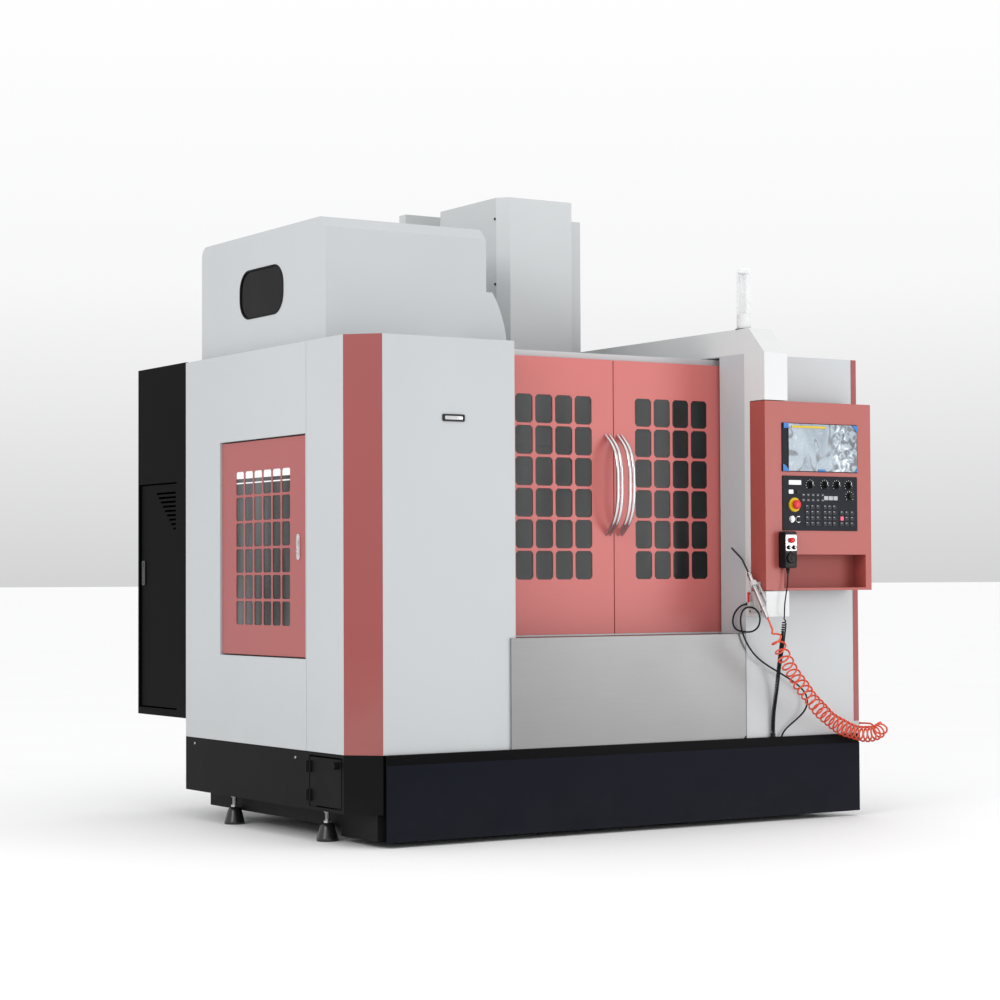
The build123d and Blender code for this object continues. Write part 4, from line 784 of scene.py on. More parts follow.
eye_radius, eye_bar, eye_height = 0.0185, 0.0055, 0.0310
eye_section = [
    (eye_radius + eye_bar * math.cos(math.radians(angle)), eye_bar * math.sin(math.radians(angle)))
    for angle in range(0, 361, 30)
]
eye_foot = [(0.0, 0.0), (0.0150, 0.0), (0.0150, 0.0050), (0.0085, 0.0080), (0.0070, 0.0120), (0.0, 0.0120)]
lifting_eye = joined(lathe(eye_section, facing("front", z=eye_height)), lathe(eye_foot, steps=24))
eye_places = [(x, 0.860, 2.430) for x in (-0.060, 0.220)]
set_out("lifting_eyes", lifting_eye, eye_places, zinc_bright)


# Electrical cabinet
# Black sheet cabinet hung on the rear of the housing, with a hinged door on its left side.
# The door has a three-cornered field of louvre slots and a recessed handle at its rear edge.
cabinet_black = powder_coat(
    "cabinet black", (0.0022, 0.0022, 0.0023, 1.0), rough=0.4, coarse=620.0, dust=0.008, gloss=0.022
)
eased("cabinet", cabinet_black)
eased("cabinet_door", cabinet_black, width=0.001, body="cabinet_door")
dress("cabinet_plate", ground_face("zinc plate", (0.5, 0.5, 0.5, 1.0)))

grip_grey = chrome_plate("blackened grip", (0.09, 0.09, 0.095, 1.0), rough=0.3)
grip_at, door_face = (1.082, 1.079), -1.252
grip_rim = [loop_about(*grip_at, 0.029, 0.108, 0.006), loop_about(*grip_at, 0.019, 0.096, 0.004)]
grip_lock = [
    (0.0, 0.0), (0.0060, 0.0), (0.0060, 0.0026), (0.0050, 0.0034), (0.0018, 0.0036), (0.0016, 0.0010),
    (0.0, 0.0010),
]
cabinet_grip = joined(
    cut_sheet(grip_rim, 0.005, 0.0012, "x", door_face - 0.0025),
    cut_sheet([loop_about(*grip_at, 0.0240, 0.1016, 0.005)], 0.001, 0.0002, "x", door_face - 0.0007),
    cut_sheet([loop_box(1.0775, 1.036, 1.0865, 1.108, 0.003)], 0.004, 0.0014, "x", door_face - 0.0030),
    lathe(grip_lock, facing("left", door_face - 0.0010, 1.0820, 1.1170), steps=18),
)
piece("cabinet_grip", cabinet_grip, grip_grey, "cabinet_door")

filter_black = powder_coat(
    "filter black", (0.010, 0.010, 0.011, 1.0), rough=0.42, coarse=900.0, dust=0.1, gloss=0.2
)
slot_wide, slot_tall, slot_low, slot_pitch = 0.160, 0.009, -0.078, 0.0166
filter_loops = [loop_about(0.0, 0.0, 0.210, 0.210, 0.014)] + [
    loop_box(-slot_wide / 2, low, slot_wide / 2, low + slot_tall, 0.004, 3)
    for low in (slot_low + slot_pitch * row for row in range(10))
]
filter_frame = joined(
    cut_sheet(filter_loops, 0.010, 0.002, "y", 0.005),
    cut_sheet([loop_about(0.0, 0.0, 0.202, 0.202, 0.012)], 0.002, 0.0004, "y", 0.0014),
)
filter_places = [(-0.830, 1.133, z) for z in (0.720, 1.720)]
set_out("cabinet_filters", filter_frame, filter_places, filter_black)


# Console column and box
# Grey folded column with an overhead cable beam, and the red box on it that holds the control.
# The box is open to the column at the back and has a shelf recess below the panels.
def console_coat(name, colour):
    """Powder coat, with painted shade in the recess below the panels: darker there, and duller."""
    coat, place = blank_finish(name, {"Specular IOR Level": 0.4})
    height = along(place, "Z")
    level = between(height, 0.996, 1.001) * (1.0 - between(height, 1.143, 1.148))
    # Painted shade: the recess below the panels is darkened in colour, as the shade that falls in it.
    shelf = between(along(place, "Y"), -1.078, -1.000) * level * between(along(place, "X"), 0.731, 0.733)
    peel = grain(place, 520.0, 2.0)
    cloud = grain(place, 1.6, 4.0)
    return varied(coat, {
        "Base Color": part_way(shelf, mottled(cloud, colour, 0.95, 1.04), shade_of(colour, 0.84)),
        "Roughness": 0.36 + (peel - 0.5) * 0.1 + cloud * 0.06 + shelf * 0.2,
        "Normal": relief(peel, 0.16, 0.0004),
    })


# Painted light: the console column carries a lighter copy of the housing white, lifting the shade on its
# beam.
lit_column_white = powder_coat("column white", (0.66, 0.675, 0.675, 1.0))
eased("console_column", lit_column_white)
beam_plug = cut_sheet([loop_box(0.6405, 2.0105, 0.7545, 2.1095, 0.004)], 0.006, 0.0012, "y", 0.4460)
piece("cable_beam_plug", beam_plug, lip_rubber)
# Painted light and shade: the console's coral red is set darker than the same paint on the doors.
console_red = console_coat("console red", (0.370, 0.080, 0.068, 1.0))
eased("console_box", console_red)


# Display, operator panel and switches
# Moulded dark units bolted into the box: a screen with its key field above, switches and keys below.
# The emergency stop is a red mushroom on a yellow collar; four rotary switches stand in a row.
def moulded(name, colour, rough=0.45, coarse=900.0, gloss=0.14):
    """Injection-moulded plastic with a fine spark-eroded texture."""
    plastic, place = blank_finish(name, {"Specular IOR Level": gloss})
    skin = grain(place, coarse, 2.0)
    cloud = grain(place, 12.0, 3.0)
    return varied(plastic, {
        "Base Color": mottled(cloud, colour, 0.88, 1.1),
        "Roughness": rough + (skin - 0.5) * 0.16 + cloud * 0.05,
        "Normal": relief(skin, 0.2, 0.0003),
    })


def shop_film(name):
    """Wrinkled clear film left on a new screen: grey, with painted shade in its creases and painted
    highlights on its ridges.
    """
    clear, place = blank_finish(name, {"Specular IOR Level": 0.6})
    keys = between(along(place, "X"), 0.995, 1.020)
    wide, tight = [
        place.node("ShaderNodeTexNoise", {}, {
            "Vector": place, "Scale": scale, "Detail": detail, "Distortion": distortion,
        })
        for scale, detail, distortion in ((6.5, 1.5, 0.9), (30.0, 2.0, 1.2))
    ]
    faint = between(grain(place, 9.0, 2.0), 0.36, 0.50)
    wide_line = 1.0 - between(wide.maths("ABSOLUTE", wide - 0.47, 0.0), 0.008, 0.026)
    # Painted shade in the creases, and painted highlights on the ridges and over the key field, as the film's
    # reflections.
    crease_shade = wide_line * faint * (1.0 - keys) * 0.8 + between(tight, 0.50, 0.57) * keys * 0.85
    ridge_highlight = between(tight, 0.60, 0.74) * (1.0 - keys) * 0.3
    painted_sheen = ridge_highlight + (1.0 - between(tight, 0.36, 0.43)) * keys * 0.85
    film = part_way(between(wide, 0.3, 0.7), (0.165, 0.215, 0.265, 1.0), (0.315, 0.385, 0.445, 1.0))
    lit = part_way(painted_sheen, film, (0.70, 0.75, 0.79, 1.0))
    return varied(clear, {
        "Base Color": part_way(crease_shade, lit, (0.030, 0.035, 0.045, 1.0)),
        "Roughness": 0.16 + tight * 0.2,
        "Normal": relief(tight + wide, 0.25, 0.001),
    })


panel_charcoal = moulded("panel charcoal", (0.0085, 0.0095, 0.0150, 1.0))
knob_black = moulded("knob black", (0.009, 0.009, 0.010, 1.0), rough=0.36)
button_white = moulded("button white", (0.78, 0.78, 0.77, 1.0), rough=0.3, gloss=0.4)
stop_red = moulded("stop red", (0.62, 0.018, 0.022, 1.0), rough=0.3, gloss=0.4)
eased("display_unit", panel_charcoal)
eased("operator_panel", panel_charcoal, width=0.001)
face_y = -1.084

film_left, film_right, film_low, film_high = 0.7600, 1.1390, 1.5005, 1.7025
film_off, film_wave, film_fold, film_thick = 0.0007, 0.0022, 0.0004, 0.0003
film = bmesh.new()
bmesh.ops.create_grid(film, x_segments=90, y_segments=48, size=0.5)
for vert in film.verts:
    share_u, share_v = vert.co.x + 0.5, vert.co.y + 0.5
    x = film_left + share_u * (film_right - film_left)
    z = film_low + share_v * (film_high - film_low)
    inwards = min(1.0, 12.0 * min(share_u, 1.0 - share_u, share_v, 1.0 - share_v))
    wave = abs(noise.noise(Vector((x * 15.0, z * 15.0, 0.3))))
    fold = abs(noise.noise(Vector((x * 75.0, z * 75.0, 1.7))))
    vert.co = (x, face_y - film_off - inwards * (film_wave * wave + film_fold * fold), z)
bmesh.ops.recalc_face_normals(film, faces=film.faces[:])
bmesh.ops.solidify(film, geom=film.faces[:], thickness=film_thick)
bmesh.ops.recalc_face_normals(film, faces=film.faces[:])
piece("screen_film", mesh_of(film), shop_film("screen film"), sharp=60)

tape_blue = moulded("tape blue", (0.055, 0.20, 0.52, 1.0), rough=0.42, coarse=300.0)
strip_yellow = moulded("strip yellow", (0.66, 0.47, 0.03, 1.0), rough=0.4, coarse=300.0)
tape_thick, tape_ease, tape_y = 0.0007, 0.00015, face_y - 0.0040
tapes = [
    cut_sheet([corners], tape_thick, tape_ease, "y", tape_y)
    for corners in (
        [(0.731, 1.7045), (0.731, 1.682), (0.757, 1.684), (0.757, 1.7045)],
        [(0.7265, 1.4990), (0.7265, 1.5290), (0.7400, 1.5230), (0.7620, 1.4990)],
        [(1.1080, 1.7020), (1.1400, 1.7020), (1.1400, 1.6720)],
        [(1.1260, 1.5005), (1.1400, 1.5005), (1.1400, 1.5200)],
        [(0.9180, 1.5005), (0.9620, 1.5005), (0.9560, 1.5085), (0.9230, 1.5085)],
    )
]
piece("film_tape", joined(*tapes), tape_blue)
film_strip = cut_sheet([loop_box(0.775, 1.6850, 0.963, 1.6935, 0.001, 2)], tape_thick, tape_ease, "y", tape_y)
piece("film_strip", film_strip, strip_yellow)

key_grey = moulded("key grey", (0.020, 0.022, 0.029, 1.0), rough=0.3)
mark_white = moulded("print white", (0.42, 0.43, 0.44, 1.0), rough=0.4, coarse=300.0)
lamp_pink = moulded("key pink", (0.74, 0.13, 0.22, 1.0), rough=0.25)
key_rows, pink_place = (1.3470, 1.3227, 1.2990, 1.2750), (1.0506, 1.2990)
key_places = [(x, z) for x in (0.859, 0.888, 0.9175, 0.9577, 0.9825, 1.0089) for z in key_rows]
key_places += [(x, z) for x in (1.0506, 1.0780, 1.1076) for z in key_rows[1:] if (x, z) != pink_place]
mark_places = [(x - 0.003, z + 0.0045) for x, z in key_places]
icon_places = [(0.838 + 0.0265 * column, z) for column in range(5) for z in (1.3985, 1.3765)]
white_places = [(x, 1.3860) for x in (0.963, 0.989, 1.015)]
for name, wide, tall, thick, out, places, finish, slot in (
    ("panel_keys", 0.0205, 0.0165, 0.0026, 0.0013, key_places, key_grey, "black_plastic"),
    ("key_marks", 0.0075, 0.0018, 0.0012, 0.0026, mark_places, mark_white, "white_plastic"),
    ("icon_keys", 0.0190, 0.0140, 0.0012, 0.0009, icon_places, key_grey, "black_plastic"),
    ("icon_marks", 0.0085, 0.0022, 0.0012, 0.0018, icon_places, mark_white, "white_plastic"),
    ("white_keys", 0.0215, 0.0165, 0.0024, 0.0012, white_places, mark_white, "white_plastic"),
    ("pink_key", 0.0165, 0.0165, 0.0030, 0.0015, [pink_place], lamp_pink, "red_plastic"),
):
    corner = min(0.0018, 0.45 * tall)
    cap = cut_sheet([loop_about(0.0, 0.0, wide, tall, corner, 3)], thick, 0.0005, "y", 0.0)
    set_out(name, cap, [(x, face_y - out, z) for x, z in places], finish)

meter, white_cap, black_cap = [
    cut_sheet([loop_box(low_x, low_z, high_x, high_z, 0.002, 3)], thick, ease, "y", face_y - thick / 2)
    for low_x, low_z, high_x, high_z, thick, ease in (
        (0.759, 1.4415, 0.825, 1.4600, 0.0020, 0.0005),
        (0.758, 1.4025, 0.781, 1.4190, 0.0030, 0.0006),
        (0.800, 1.4025, 0.823, 1.4190, 0.0030, 0.0006),
    )
]
piece("meter_plate", joined(meter, white_cap), button_white)
selector_x, selector_z, knobs_z = 1.095, 1.395, 1.4417
selector_profile = [
    (0.0, 0.0), (0.0165, 0.0), (0.0165, 0.0030), (0.0130, 0.0045), (0.0115, 0.0140), (0.0100, 0.0156),
    (0.0, 0.0160),
]
selector = joined(
    black_cap, lathe(selector_profile, facing("front", selector_x, face_y, selector_z), steps=30)
)
piece("selector_knob", selector, knob_black)

for knob in ("mode_knob", "rapid_knob", "feed_knob", "speed_knob"):
    low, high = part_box(knob)
    eased(knob, knob_black, width=0.0004, body=knob)
    middle_x = (low.x + high.x) / 2
    pointer_loop = loop_box(
        middle_x - 0.0012, knobs_z + 0.0010, middle_x + 0.0012, high.z - 0.0035, 0.0006, 2
    )
    pointer = cut_sheet([pointer_loop], 0.0006, 0.0001, "y", low.y - 0.0001)
    piece(knob + "_pointer", pointer, button_white, knob)
dial_radius = 0.0215
dials = [(x, knobs_z) for x in (0.8751, 0.9560, 1.0230, 1.0900)] + [(selector_x, selector_z)]
tick_places = [
    (x + dial_radius * math.cos(angle), face_y - 0.0003, z + dial_radius * math.sin(angle))
    for x, z in dials
    for angle in (math.radians(-35.0 + 250.0 * step / 8) for step in range(9))
]
tick = lathe([(0.0, 0.0), (0.0017, 0.0), (0.0014, 0.0007), (0.0, 0.0008)], facing("front"), steps=10)
set_out("dial_ticks", tick, tick_places, button_white)

collar_yellow = moulded("collar yellow", (0.72, 0.45, 0.01, 1.0), rough=0.32)
estop_turn = facing("front", 0.788, face_y, 1.3555)
collar_profile = [
    (0.0135, 0.0001), (0.0305, 0.0001), (0.0308, 0.0040), (0.0285, 0.0072), (0.0160, 0.0076),
    (0.0135, 0.0068), (0.0135, 0.0001),
]
piece("estop_collar", lathe(collar_profile, estop_turn, steps=40), collar_yellow)
mushroom_profile = [
    (0.0, -0.010), (0.0100, -0.010), (0.0100, 0.0125), (0.0172, 0.0128), (0.0197, 0.0150),
    (0.0200, 0.0190), (0.0188, 0.0232), (0.0155, 0.0262), (0.0100, 0.0278), (0.0, 0.0280),
]
mushroom = lathe(mushroom_profile, estop_turn, steps=40)
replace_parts(piece("estop_mushroom", mushroom, stop_red, "estop_button"), "estop_button")

bezel_steel = chrome_plate("bezel steel", (0.5, 0.5, 0.5, 1.0), rough=0.25)
bezel_profile = [
    (0.0118, 0.0001), (0.0152, 0.0001), (0.0152, 0.0012), (0.0136, 0.0030), (0.0118, 0.0030),
    (0.0118, 0.0001),
]
bezels = []
for button, finish, slot in (
    ("start_button", button_white, "white_plastic"),
    ("stop_button", knob_black, "black_plastic"),
):
    eased(button, finish, width=0.0010, body=button)
    low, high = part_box(button)
    bezel_turn = facing("front", (low.x + high.x) / 2, face_y, (low.z + high.z) / 2)
    bezels.append(lathe(bezel_profile, bezel_turn, steps=30))
piece("button_bezels", joined(*bezels), bezel_steel)
panel_screws = [(x, face_y, z) for x in (0.733, 1.132) for z in (1.253, 1.472)]
screw_row("panel_screws", 0.0032, facing("front"), panel_screws, screw_black)


# Hand pendant and its cable
# Black moulded box with a pulse wheel, hung on the console by a clip, on a curly rubber cable.
# The cable leaves the pendant straight, winds into a spring, and enters the base through a rubber boot.
def route_line(points, fineness=24):
    """The smooth line of a cord's route, as places along a line that the route's points steer."""
    mesh = curve_mesh(bent_line("route", points, fineness=fineness))
    return [vertex.co.copy() for vertex in mesh.vertices]


def line_length(line):
    """How long a line of many places is."""
    return sum((second - first).length for first, second in zip(line, line[1:]))


def wound(line, radius_at, pitch_at, per_turn=14):
    """Points of a spring wound round a line, its radius and pitch given along the line's length."""
    tangent = (line[1] - line[0]).normalized()
    side = tangent.orthogonal().normalized()
    points = []
    angle, passed, due = 0.0, 0.0, 0.0
    for first, second in zip(line, line[1:]):
        run = second - first
        if run.length < 1e-9:
            continue
        side.rotate(tangent.rotation_difference(run.normalized()))
        tangent = run.normalized()
        side = (side - tangent * side.dot(tangent)).normalized()
        other = tangent.cross(side)
        while due - passed <= run.length:
            radius = radius_at(due)
            middle = first + tangent * (due - passed)
            points.append(middle + side * (radius * math.cos(angle)) + other * (radius * math.sin(angle)))
            angle += 2 * math.pi / per_turn
            due += pitch_at(due) / per_turn
        passed += run.length
    points.append(line[-1].copy())
    return points


def cord_piece(name, points, diameter, finish, fineness=3):
    """A cord as one smooth open spline with its own thickness."""
    curve = bent_line(name, points, fineness=fineness, radius=diameter / 2, roundness=2)
    curve.materials.append(finish)
    made = in_scene(name, curve)
    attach(made, "machine")
    return made


def spline_length(points):
    """How long a run of points is along its smooth spline."""
    return line_length(route_line(points, fineness=6))


cable_rubber = moulded("cable rubber", (0.011, 0.011, 0.012, 1.0), rough=0.5, coarse=1400.0)
pendant_black = moulded("pendant black", (0.008, 0.008, 0.009, 1.0), rough=0.34)
plate_silver = ground_face("pendant plate", (0.62, 0.62, 0.62, 1.0), stretch=(2.0, 2.0, 60.0))
eased("pendant_body", pendant_black, width=0.003)
pendant_face, plate_thick = -1.125, 0.0016
plate_y = pendant_face - plate_thick
plate_loop = loop_box(0.7065, 1.1585, 0.7645, 1.2255, 0.004)
pendant_plate = cut_sheet([plate_loop], plate_thick, 0.0005, "y", pendant_face - plate_thick / 2)
piece("pendant_plate", pendant_plate, plate_silver)
plate_screws = [(x, plate_y, z) for x in (0.7105, 0.7605) for z in (1.1625, 1.2215)]
screw_row("pendant_plate_screws", 0.0026, facing("front"), plate_screws, zinc_bright)
stop_profile = [
    (0.0, 0.0), (0.0120, 0.0), (0.0120, 0.0035), (0.0085, 0.0040), (0.0085, 0.0075), (0.0115, 0.0085),
    (0.0125, 0.0115), (0.0110, 0.0150), (0.0065, 0.0168), (0.0, 0.0170),
]
pendant_stop = lathe(stop_profile, facing("front", 0.7350, plate_y, 1.2030), steps=32)
piece("pendant_stop", pendant_stop, stop_red)
knob_profile = [
    (0.0, 0.0), (0.0100, 0.0), (0.0100, 0.0024), (0.0075, 0.0036), (0.0068, 0.0100), (0.0, 0.0104),
]
cap_profile = [(0.0, 0.0102), (0.0042, 0.0102), (0.0040, 0.0114), (0.0, 0.0117)]
knob_turns = [facing("front", x, plate_y, 1.1725) for x in (0.7215, 0.7500)]
pendant_knobs = joined(*(lathe(knob_profile, turn, steps=24) for turn in knob_turns))
piece("pendant_knobs", pendant_knobs, knob_black)
knob_caps = joined(*(lathe(cap_profile, turn, steps=20) for turn in knob_turns))
piece("pendant_knob_caps", knob_caps, button_white)

wheel_x, wheel_z, mark_radius = 0.7355, 1.1271, 0.0280
wheel_turn = facing("front", wheel_x, pendant_face - 0.0003, wheel_z)
wheel_profile = [
    (0.0, -0.0140), (0.0040, -0.0140), (0.0040, 0.0), (0.0236, 0.0), (0.0250, 0.0016), (0.0250, 0.0090),
    (0.0236, 0.0108), (0.0200, 0.0112), (0.0185, 0.0098), (0.0090, 0.0094), (0.0082, 0.0112),
    (0.0, 0.0118),
]
crank_profile = [(0.0, 0.0092), (0.0036, 0.0092), (0.0032, 0.0108), (0.0030, 0.0116), (0.0, 0.0120)]
pulse_wheel = joined(
    lathe(wheel_profile, wheel_turn, steps=48),
    lathe(crank_profile, wheel_turn @ Matrix.Translation((0.0, 0.0140, 0.0)), steps=18),
)
wheel_piece = piece("pulse_wheel", pulse_wheel, knob_black, "pendant_wheel")
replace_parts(wheel_piece, "pendant_wheel")
wheel_marks = [
    (wheel_x + mark_radius * math.cos(angle), pendant_face, wheel_z + mark_radius * math.sin(angle))
    for angle in (math.radians(20.0 * step) for step in range(18))
]
wheel_mark = lathe([(0.0, 0.0), (0.0008, 0.0), (0.0006, 0.0004), (0.0, 0.0005)], facing("front"), steps=8)
set_out("wheel_marks", wheel_mark, wheel_marks, button_white)

gland_profile = [
    (0.0, 0.0), (0.0052, 0.0), (0.0060, 0.0060), (0.0062, 0.0110), (0.0074, 0.0120), (0.0074, 0.0180),
    (0.0086, 0.0190), (0.0086, 0.0240), (0.0, 0.0240),
]
gland = lathe(gland_profile, Matrix.Translation((0.7355, -1.1025, 1.0620)), steps=24)
piece("pendant_gland", gland, cable_rubber)
cable_exit = (0.768, -0.952, 0.360)
boot_profile = [
    (0.0, 0.0002), (0.0125, 0.0002), (0.0130, 0.0008), (0.0130, 0.0032), (0.0118, 0.0044),
    (0.0108, 0.0050), (0.0102, 0.0170), (0.0092, 0.0185), (0.0, 0.0186),
]
boot = lathe(boot_profile, Matrix.Translation(cable_exit), steps=24)
piece("cable_boot", boot, cable_rubber)

lead_line = route_line([
    (0.7355, -1.1025, 1.075), (0.7355, -1.1025, 1.032), (0.724, -1.106, 0.985), (0.713, -1.108, 0.940),
    (0.713, -1.104, 0.900), (0.720, -1.096, 0.861), (0.728, -1.078, 0.810), (0.743, -1.048, 0.756),
    (0.758, -1.018, 0.704), (0.768, -0.994, 0.650), (0.774, -0.978, 0.598), (0.774, -0.964, 0.530),
    (0.768, -0.952, 0.446), cable_exit,
])
cable_thick, open_radius, tight_radius = 0.0060, 0.0082, 0.0066
curl_from, tail_from, curl_to = 0.20, 0.36, line_length(lead_line) - 0.010


def curl_radius(passed):
    """Straight lead, an open spring, then the same spring drawn tighter, and straight again into the base."""
    if passed < curl_from or passed > curl_to:
        return 0.0
    if passed < tail_from:
        return open_radius * min(1.0, (passed - curl_from) / 0.03)
    tighter = (open_radius - tight_radius) * min(1.0, (passed - tail_from) / 0.10)
    return (open_radius - tighter) * min(1.0, (curl_to - passed) / 0.014)


def curl_pitch(passed):
    """Long steps where the cable is straight, and between them about a cable's thickness a turn."""
    if passed < curl_from or passed > curl_to:
        return 0.16
    close = 0.0108 - 0.0036 * min(1.0, max(0.0, (passed - curl_from - 0.05) / 0.2))
    return close + 0.036 * (1.0 - min(1.0, curl_radius(passed) / tight_radius))


cable_points = wound(lead_line, curl_radius, curl_pitch)
cable_points.reverse()
pendant_cable = cord_piece("pendant_cable", cable_points, cable_thick, cable_rubber)
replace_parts(pendant_cable, "pendant_lead", "pendant_curl", "pendant_tail")
spline_length(cable_points)


# Air gun, its holder, valve and tube
# A blow gun with a bent nozzle rests in a ring on a screwed plate; a small valve beside it feeds the line.
# A thin black polyurethane tube leaves the valve, loops once and runs down to the base.
def gun_coat(name):
    """Black nozzle tube above the neck, bead-blasted aluminium below it."""
    coat, place = blank_finish(name, {})
    body = 1.0 - between(along(place, "Z"), 1.0555, 1.0570)
    blast = grain(place, 700.0, 2.0)
    metal = part_way(grain(place, 24.0, 3.0), (0.50, 0.50, 0.51, 1.0), (0.68, 0.68, 0.69, 1.0))
    return varied(coat, {
        "Base Color": part_way(body, (0.010, 0.010, 0.011, 1.0), metal),
        "Metallic": body,
        "Roughness": 0.26 + blast * 0.14,
        "Normal": relief(blast, 0.12, 0.0002),
    })


eased("air_gun", gun_coat("gun metal"), width=0.001)
gun_neck, gun_tail = Vector((0.600, -1.015, 1.054)), Vector((0.600, -1.133, 0.875))
gun_line = gun_tail - gun_neck
gun_turn = Matrix.Translation(gun_neck) @ gun_line.normalized().to_track_quat("Z", "X").to_matrix().to_4x4()
neck_nut = [
    (0.0, -0.0160), (0.0070, -0.0160), (0.0088, -0.0140), (0.0088, -0.0060), (0.0112, -0.0050),
    (0.0112, 0.0070), (0.0098, 0.0080), (0.0, 0.0082),
]
body_ring = [
    (0.0, -0.0030), (0.0100, -0.0030), (0.0114, -0.0016), (0.0114, 0.0016), (0.0100, 0.0030), (0.0, 0.0030),
]
gun_rings = [lathe(neck_nut, gun_turn, steps=6)] + [
    lathe(body_ring, gun_turn @ Matrix.Translation((0.0, 0.0, share * gun_line.length)), steps=28)
    for share in (0.30, 0.36, 0.74)
]
piece("gun_rings", joined(*gun_rings), bezel_steel)

holder_grey = powder_coat("holder grey", (0.52, 0.52, 0.51, 1.0), rough=0.36)
eased("gun_holder", holder_grey, width=0.0008)
holder_screws = [(0.632, y, z) for y in (-1.050, -0.974) for z in (0.902, 0.978)]
screw_row("holder_screws", 0.0042, facing("left"), holder_screws, screw_black)
valve_lever = cut_sheet([loop_box(-0.9945, 0.9410, -0.9855, 0.9830, 0.003)], 0.0050, 0.0010, "x", 0.6110)
piece("valve_lever", valve_lever, stop_red)
fitting_profile = [
    (0.0, 0.0), (0.0085, 0.0), (0.0085, 0.0090), (0.0072, 0.0100), (0.0072, 0.0150), (0.0064, 0.0165),
    (0.0044, 0.0165), (0.0, 0.0165),
]
valve_place = (0.622, -0.980, 0.933)
valve_fitting = lathe(fitting_profile, facing("rear", *valve_place), steps=24)
piece("valve_fitting", valve_fitting, knob_black)

tube_black = moulded("tube black", (0.012, 0.013, 0.018, 1.0), rough=0.25, coarse=300.0)
tube_thick = 0.008
tube_route = [
    valve_place, (0.622, -0.945, 0.933), (0.618, -0.911, 0.917), (0.614, -0.884, 0.890),
    (0.612, -0.875, 0.852), (0.612, -0.896, 0.824), (0.612, -0.936, 0.816), (0.613, -0.980, 0.813),
    (0.614, -1.022, 0.818), (0.615, -1.056, 0.840), (0.613, -1.068, 0.878), (0.606, -1.052, 0.911),
    (0.592, -1.018, 0.924), (0.583, -0.982, 0.908), (0.586, -0.962, 0.864), (0.598, -0.962, 0.810),
    (0.622, -0.967, 0.758), (0.664, -0.967, 0.710), (0.720, -0.965, 0.674), (0.782, -0.966, 0.643),
    (0.842, -0.968, 0.612), (0.897, -0.969, 0.580), (0.938, -0.970, 0.542), (0.948, -0.968, 0.500),
    (0.930, -0.965, 0.464), (0.892, -0.961, 0.434), (0.850, -0.957, 0.405), (0.822, -0.955, 0.382),
    (0.812, -0.955, 0.360),
]
air_tube = cord_piece("air_line", tube_route, tube_thick, tube_black, fineness=12)
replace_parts(air_tube, "air_tube")
spline_length(tube_route)


# Coil hose and its fitting
# Red polyurethane spring hose from a brass elbow on the right side up to the air gun's tail.
# Its turns hang open near the gun and lie close together round the corner of the housing.
def hose_skin(name, colour):
    """Glossy polyurethane, slightly clear, its colour darker and lighter in random patches."""
    skin, place = blank_finish(
        name, {"Subsurface Weight": 0.15, "Subsurface Radius": (0.004, 0.001, 0.001)}
    )
    cloud = grain(place, 30.0, 3.0)
    return varied(skin, {
        "Base Color": mottled(cloud, colour, 0.8, 1.15), "Roughness": 0.18 + cloud * 0.12,
    })


hose_red = hose_skin("hose red", (0.72, 0.085, 0.035, 1.0))
hose_exit = (1.300, -0.896, 0.400)
hose_line = route_line([
    tuple(gun_tail), (0.600, -1.1566, 0.8392), (0.630, -1.162, 0.774), (0.690, -1.138, 0.694),
    (0.764, -1.112, 0.622), (0.845, -1.086, 0.552), (0.925, -1.062, 0.488), (1.012, -1.040, 0.430),
    (1.112, -1.026, 0.384), (1.216, -1.016, 0.358), (1.290, -1.014, 0.360), (1.338, -1.000, 0.376),
    (1.346, -0.968, 0.394), (1.318, -0.938, 0.400), (1.300, -0.915, 0.400), hose_exit,
])
hose_thick, hose_turn, hose_reach = 0.008, 0.030, line_length(hose_line)


def hose_fall(passed):
    """One along the coil, sloping to nought where the hose runs straight into the fitting."""
    return min(1.0, max(0.0, (hose_reach - 0.055 - passed) / 0.065))


def hose_radius(passed):
    """Straight stretches at both ends and full turns between, the open ones a little uneven."""
    rise = min(1.0, max(0.0, (passed - 0.046) / 0.060))
    rise = rise * rise * (3.0 - 2.0 * rise)
    swell = 0.90 + 0.18 * min(1.0, passed / hose_reach / 0.55)
    return hose_turn * min(rise, hose_fall(passed)) * swell * (0.97 + 0.05 * math.sin(passed * 37.0))


def hose_pitch(passed):
    """Open turns near the gun, close ones towards the fitting."""
    share = min(1.0, passed / hose_reach / 0.80)
    return 0.054 - 0.029 * share ** 0.7 + 0.05 * (1.0 - hose_fall(passed))


hose_points = wound(hose_line, hose_radius, hose_pitch, per_turn=16)
hose_points.reverse()
hose = cord_piece("coil_hose", hose_points, hose_thick, hose_red)
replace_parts(hose, "hose_coil")
spline_length(hose_points)
eased("hose_fitting", ground_face("fitting brass", (0.62, 0.5, 0.28, 1.0)), width=0.0008)


# Signal lamp
# A clear acrylic lens over a white three-sided light carrier, on a moulded foot with a dark seal below.
# The foot is screwed to the cable beam above the console.
def clear_lens(name):
    """Clear acrylic, slightly milky along its ribs."""
    acrylic, place = blank_finish(name, {"Specular IOR Level": 0.5})
    haze = grain(place, 40.0, 3.0)
    crown = between(along(place, "Z"), 2.362, 2.376)
    return varied(acrylic, {
        "Base Color": part_way(haze, (0.86, 0.88, 0.89, 1.0), (0.97, 0.98, 0.98, 1.0)),
        "Roughness": 0.08 + haze * 0.1,
        "Alpha": 0.26 + haze * 0.08 + crown * 0.3,
    })


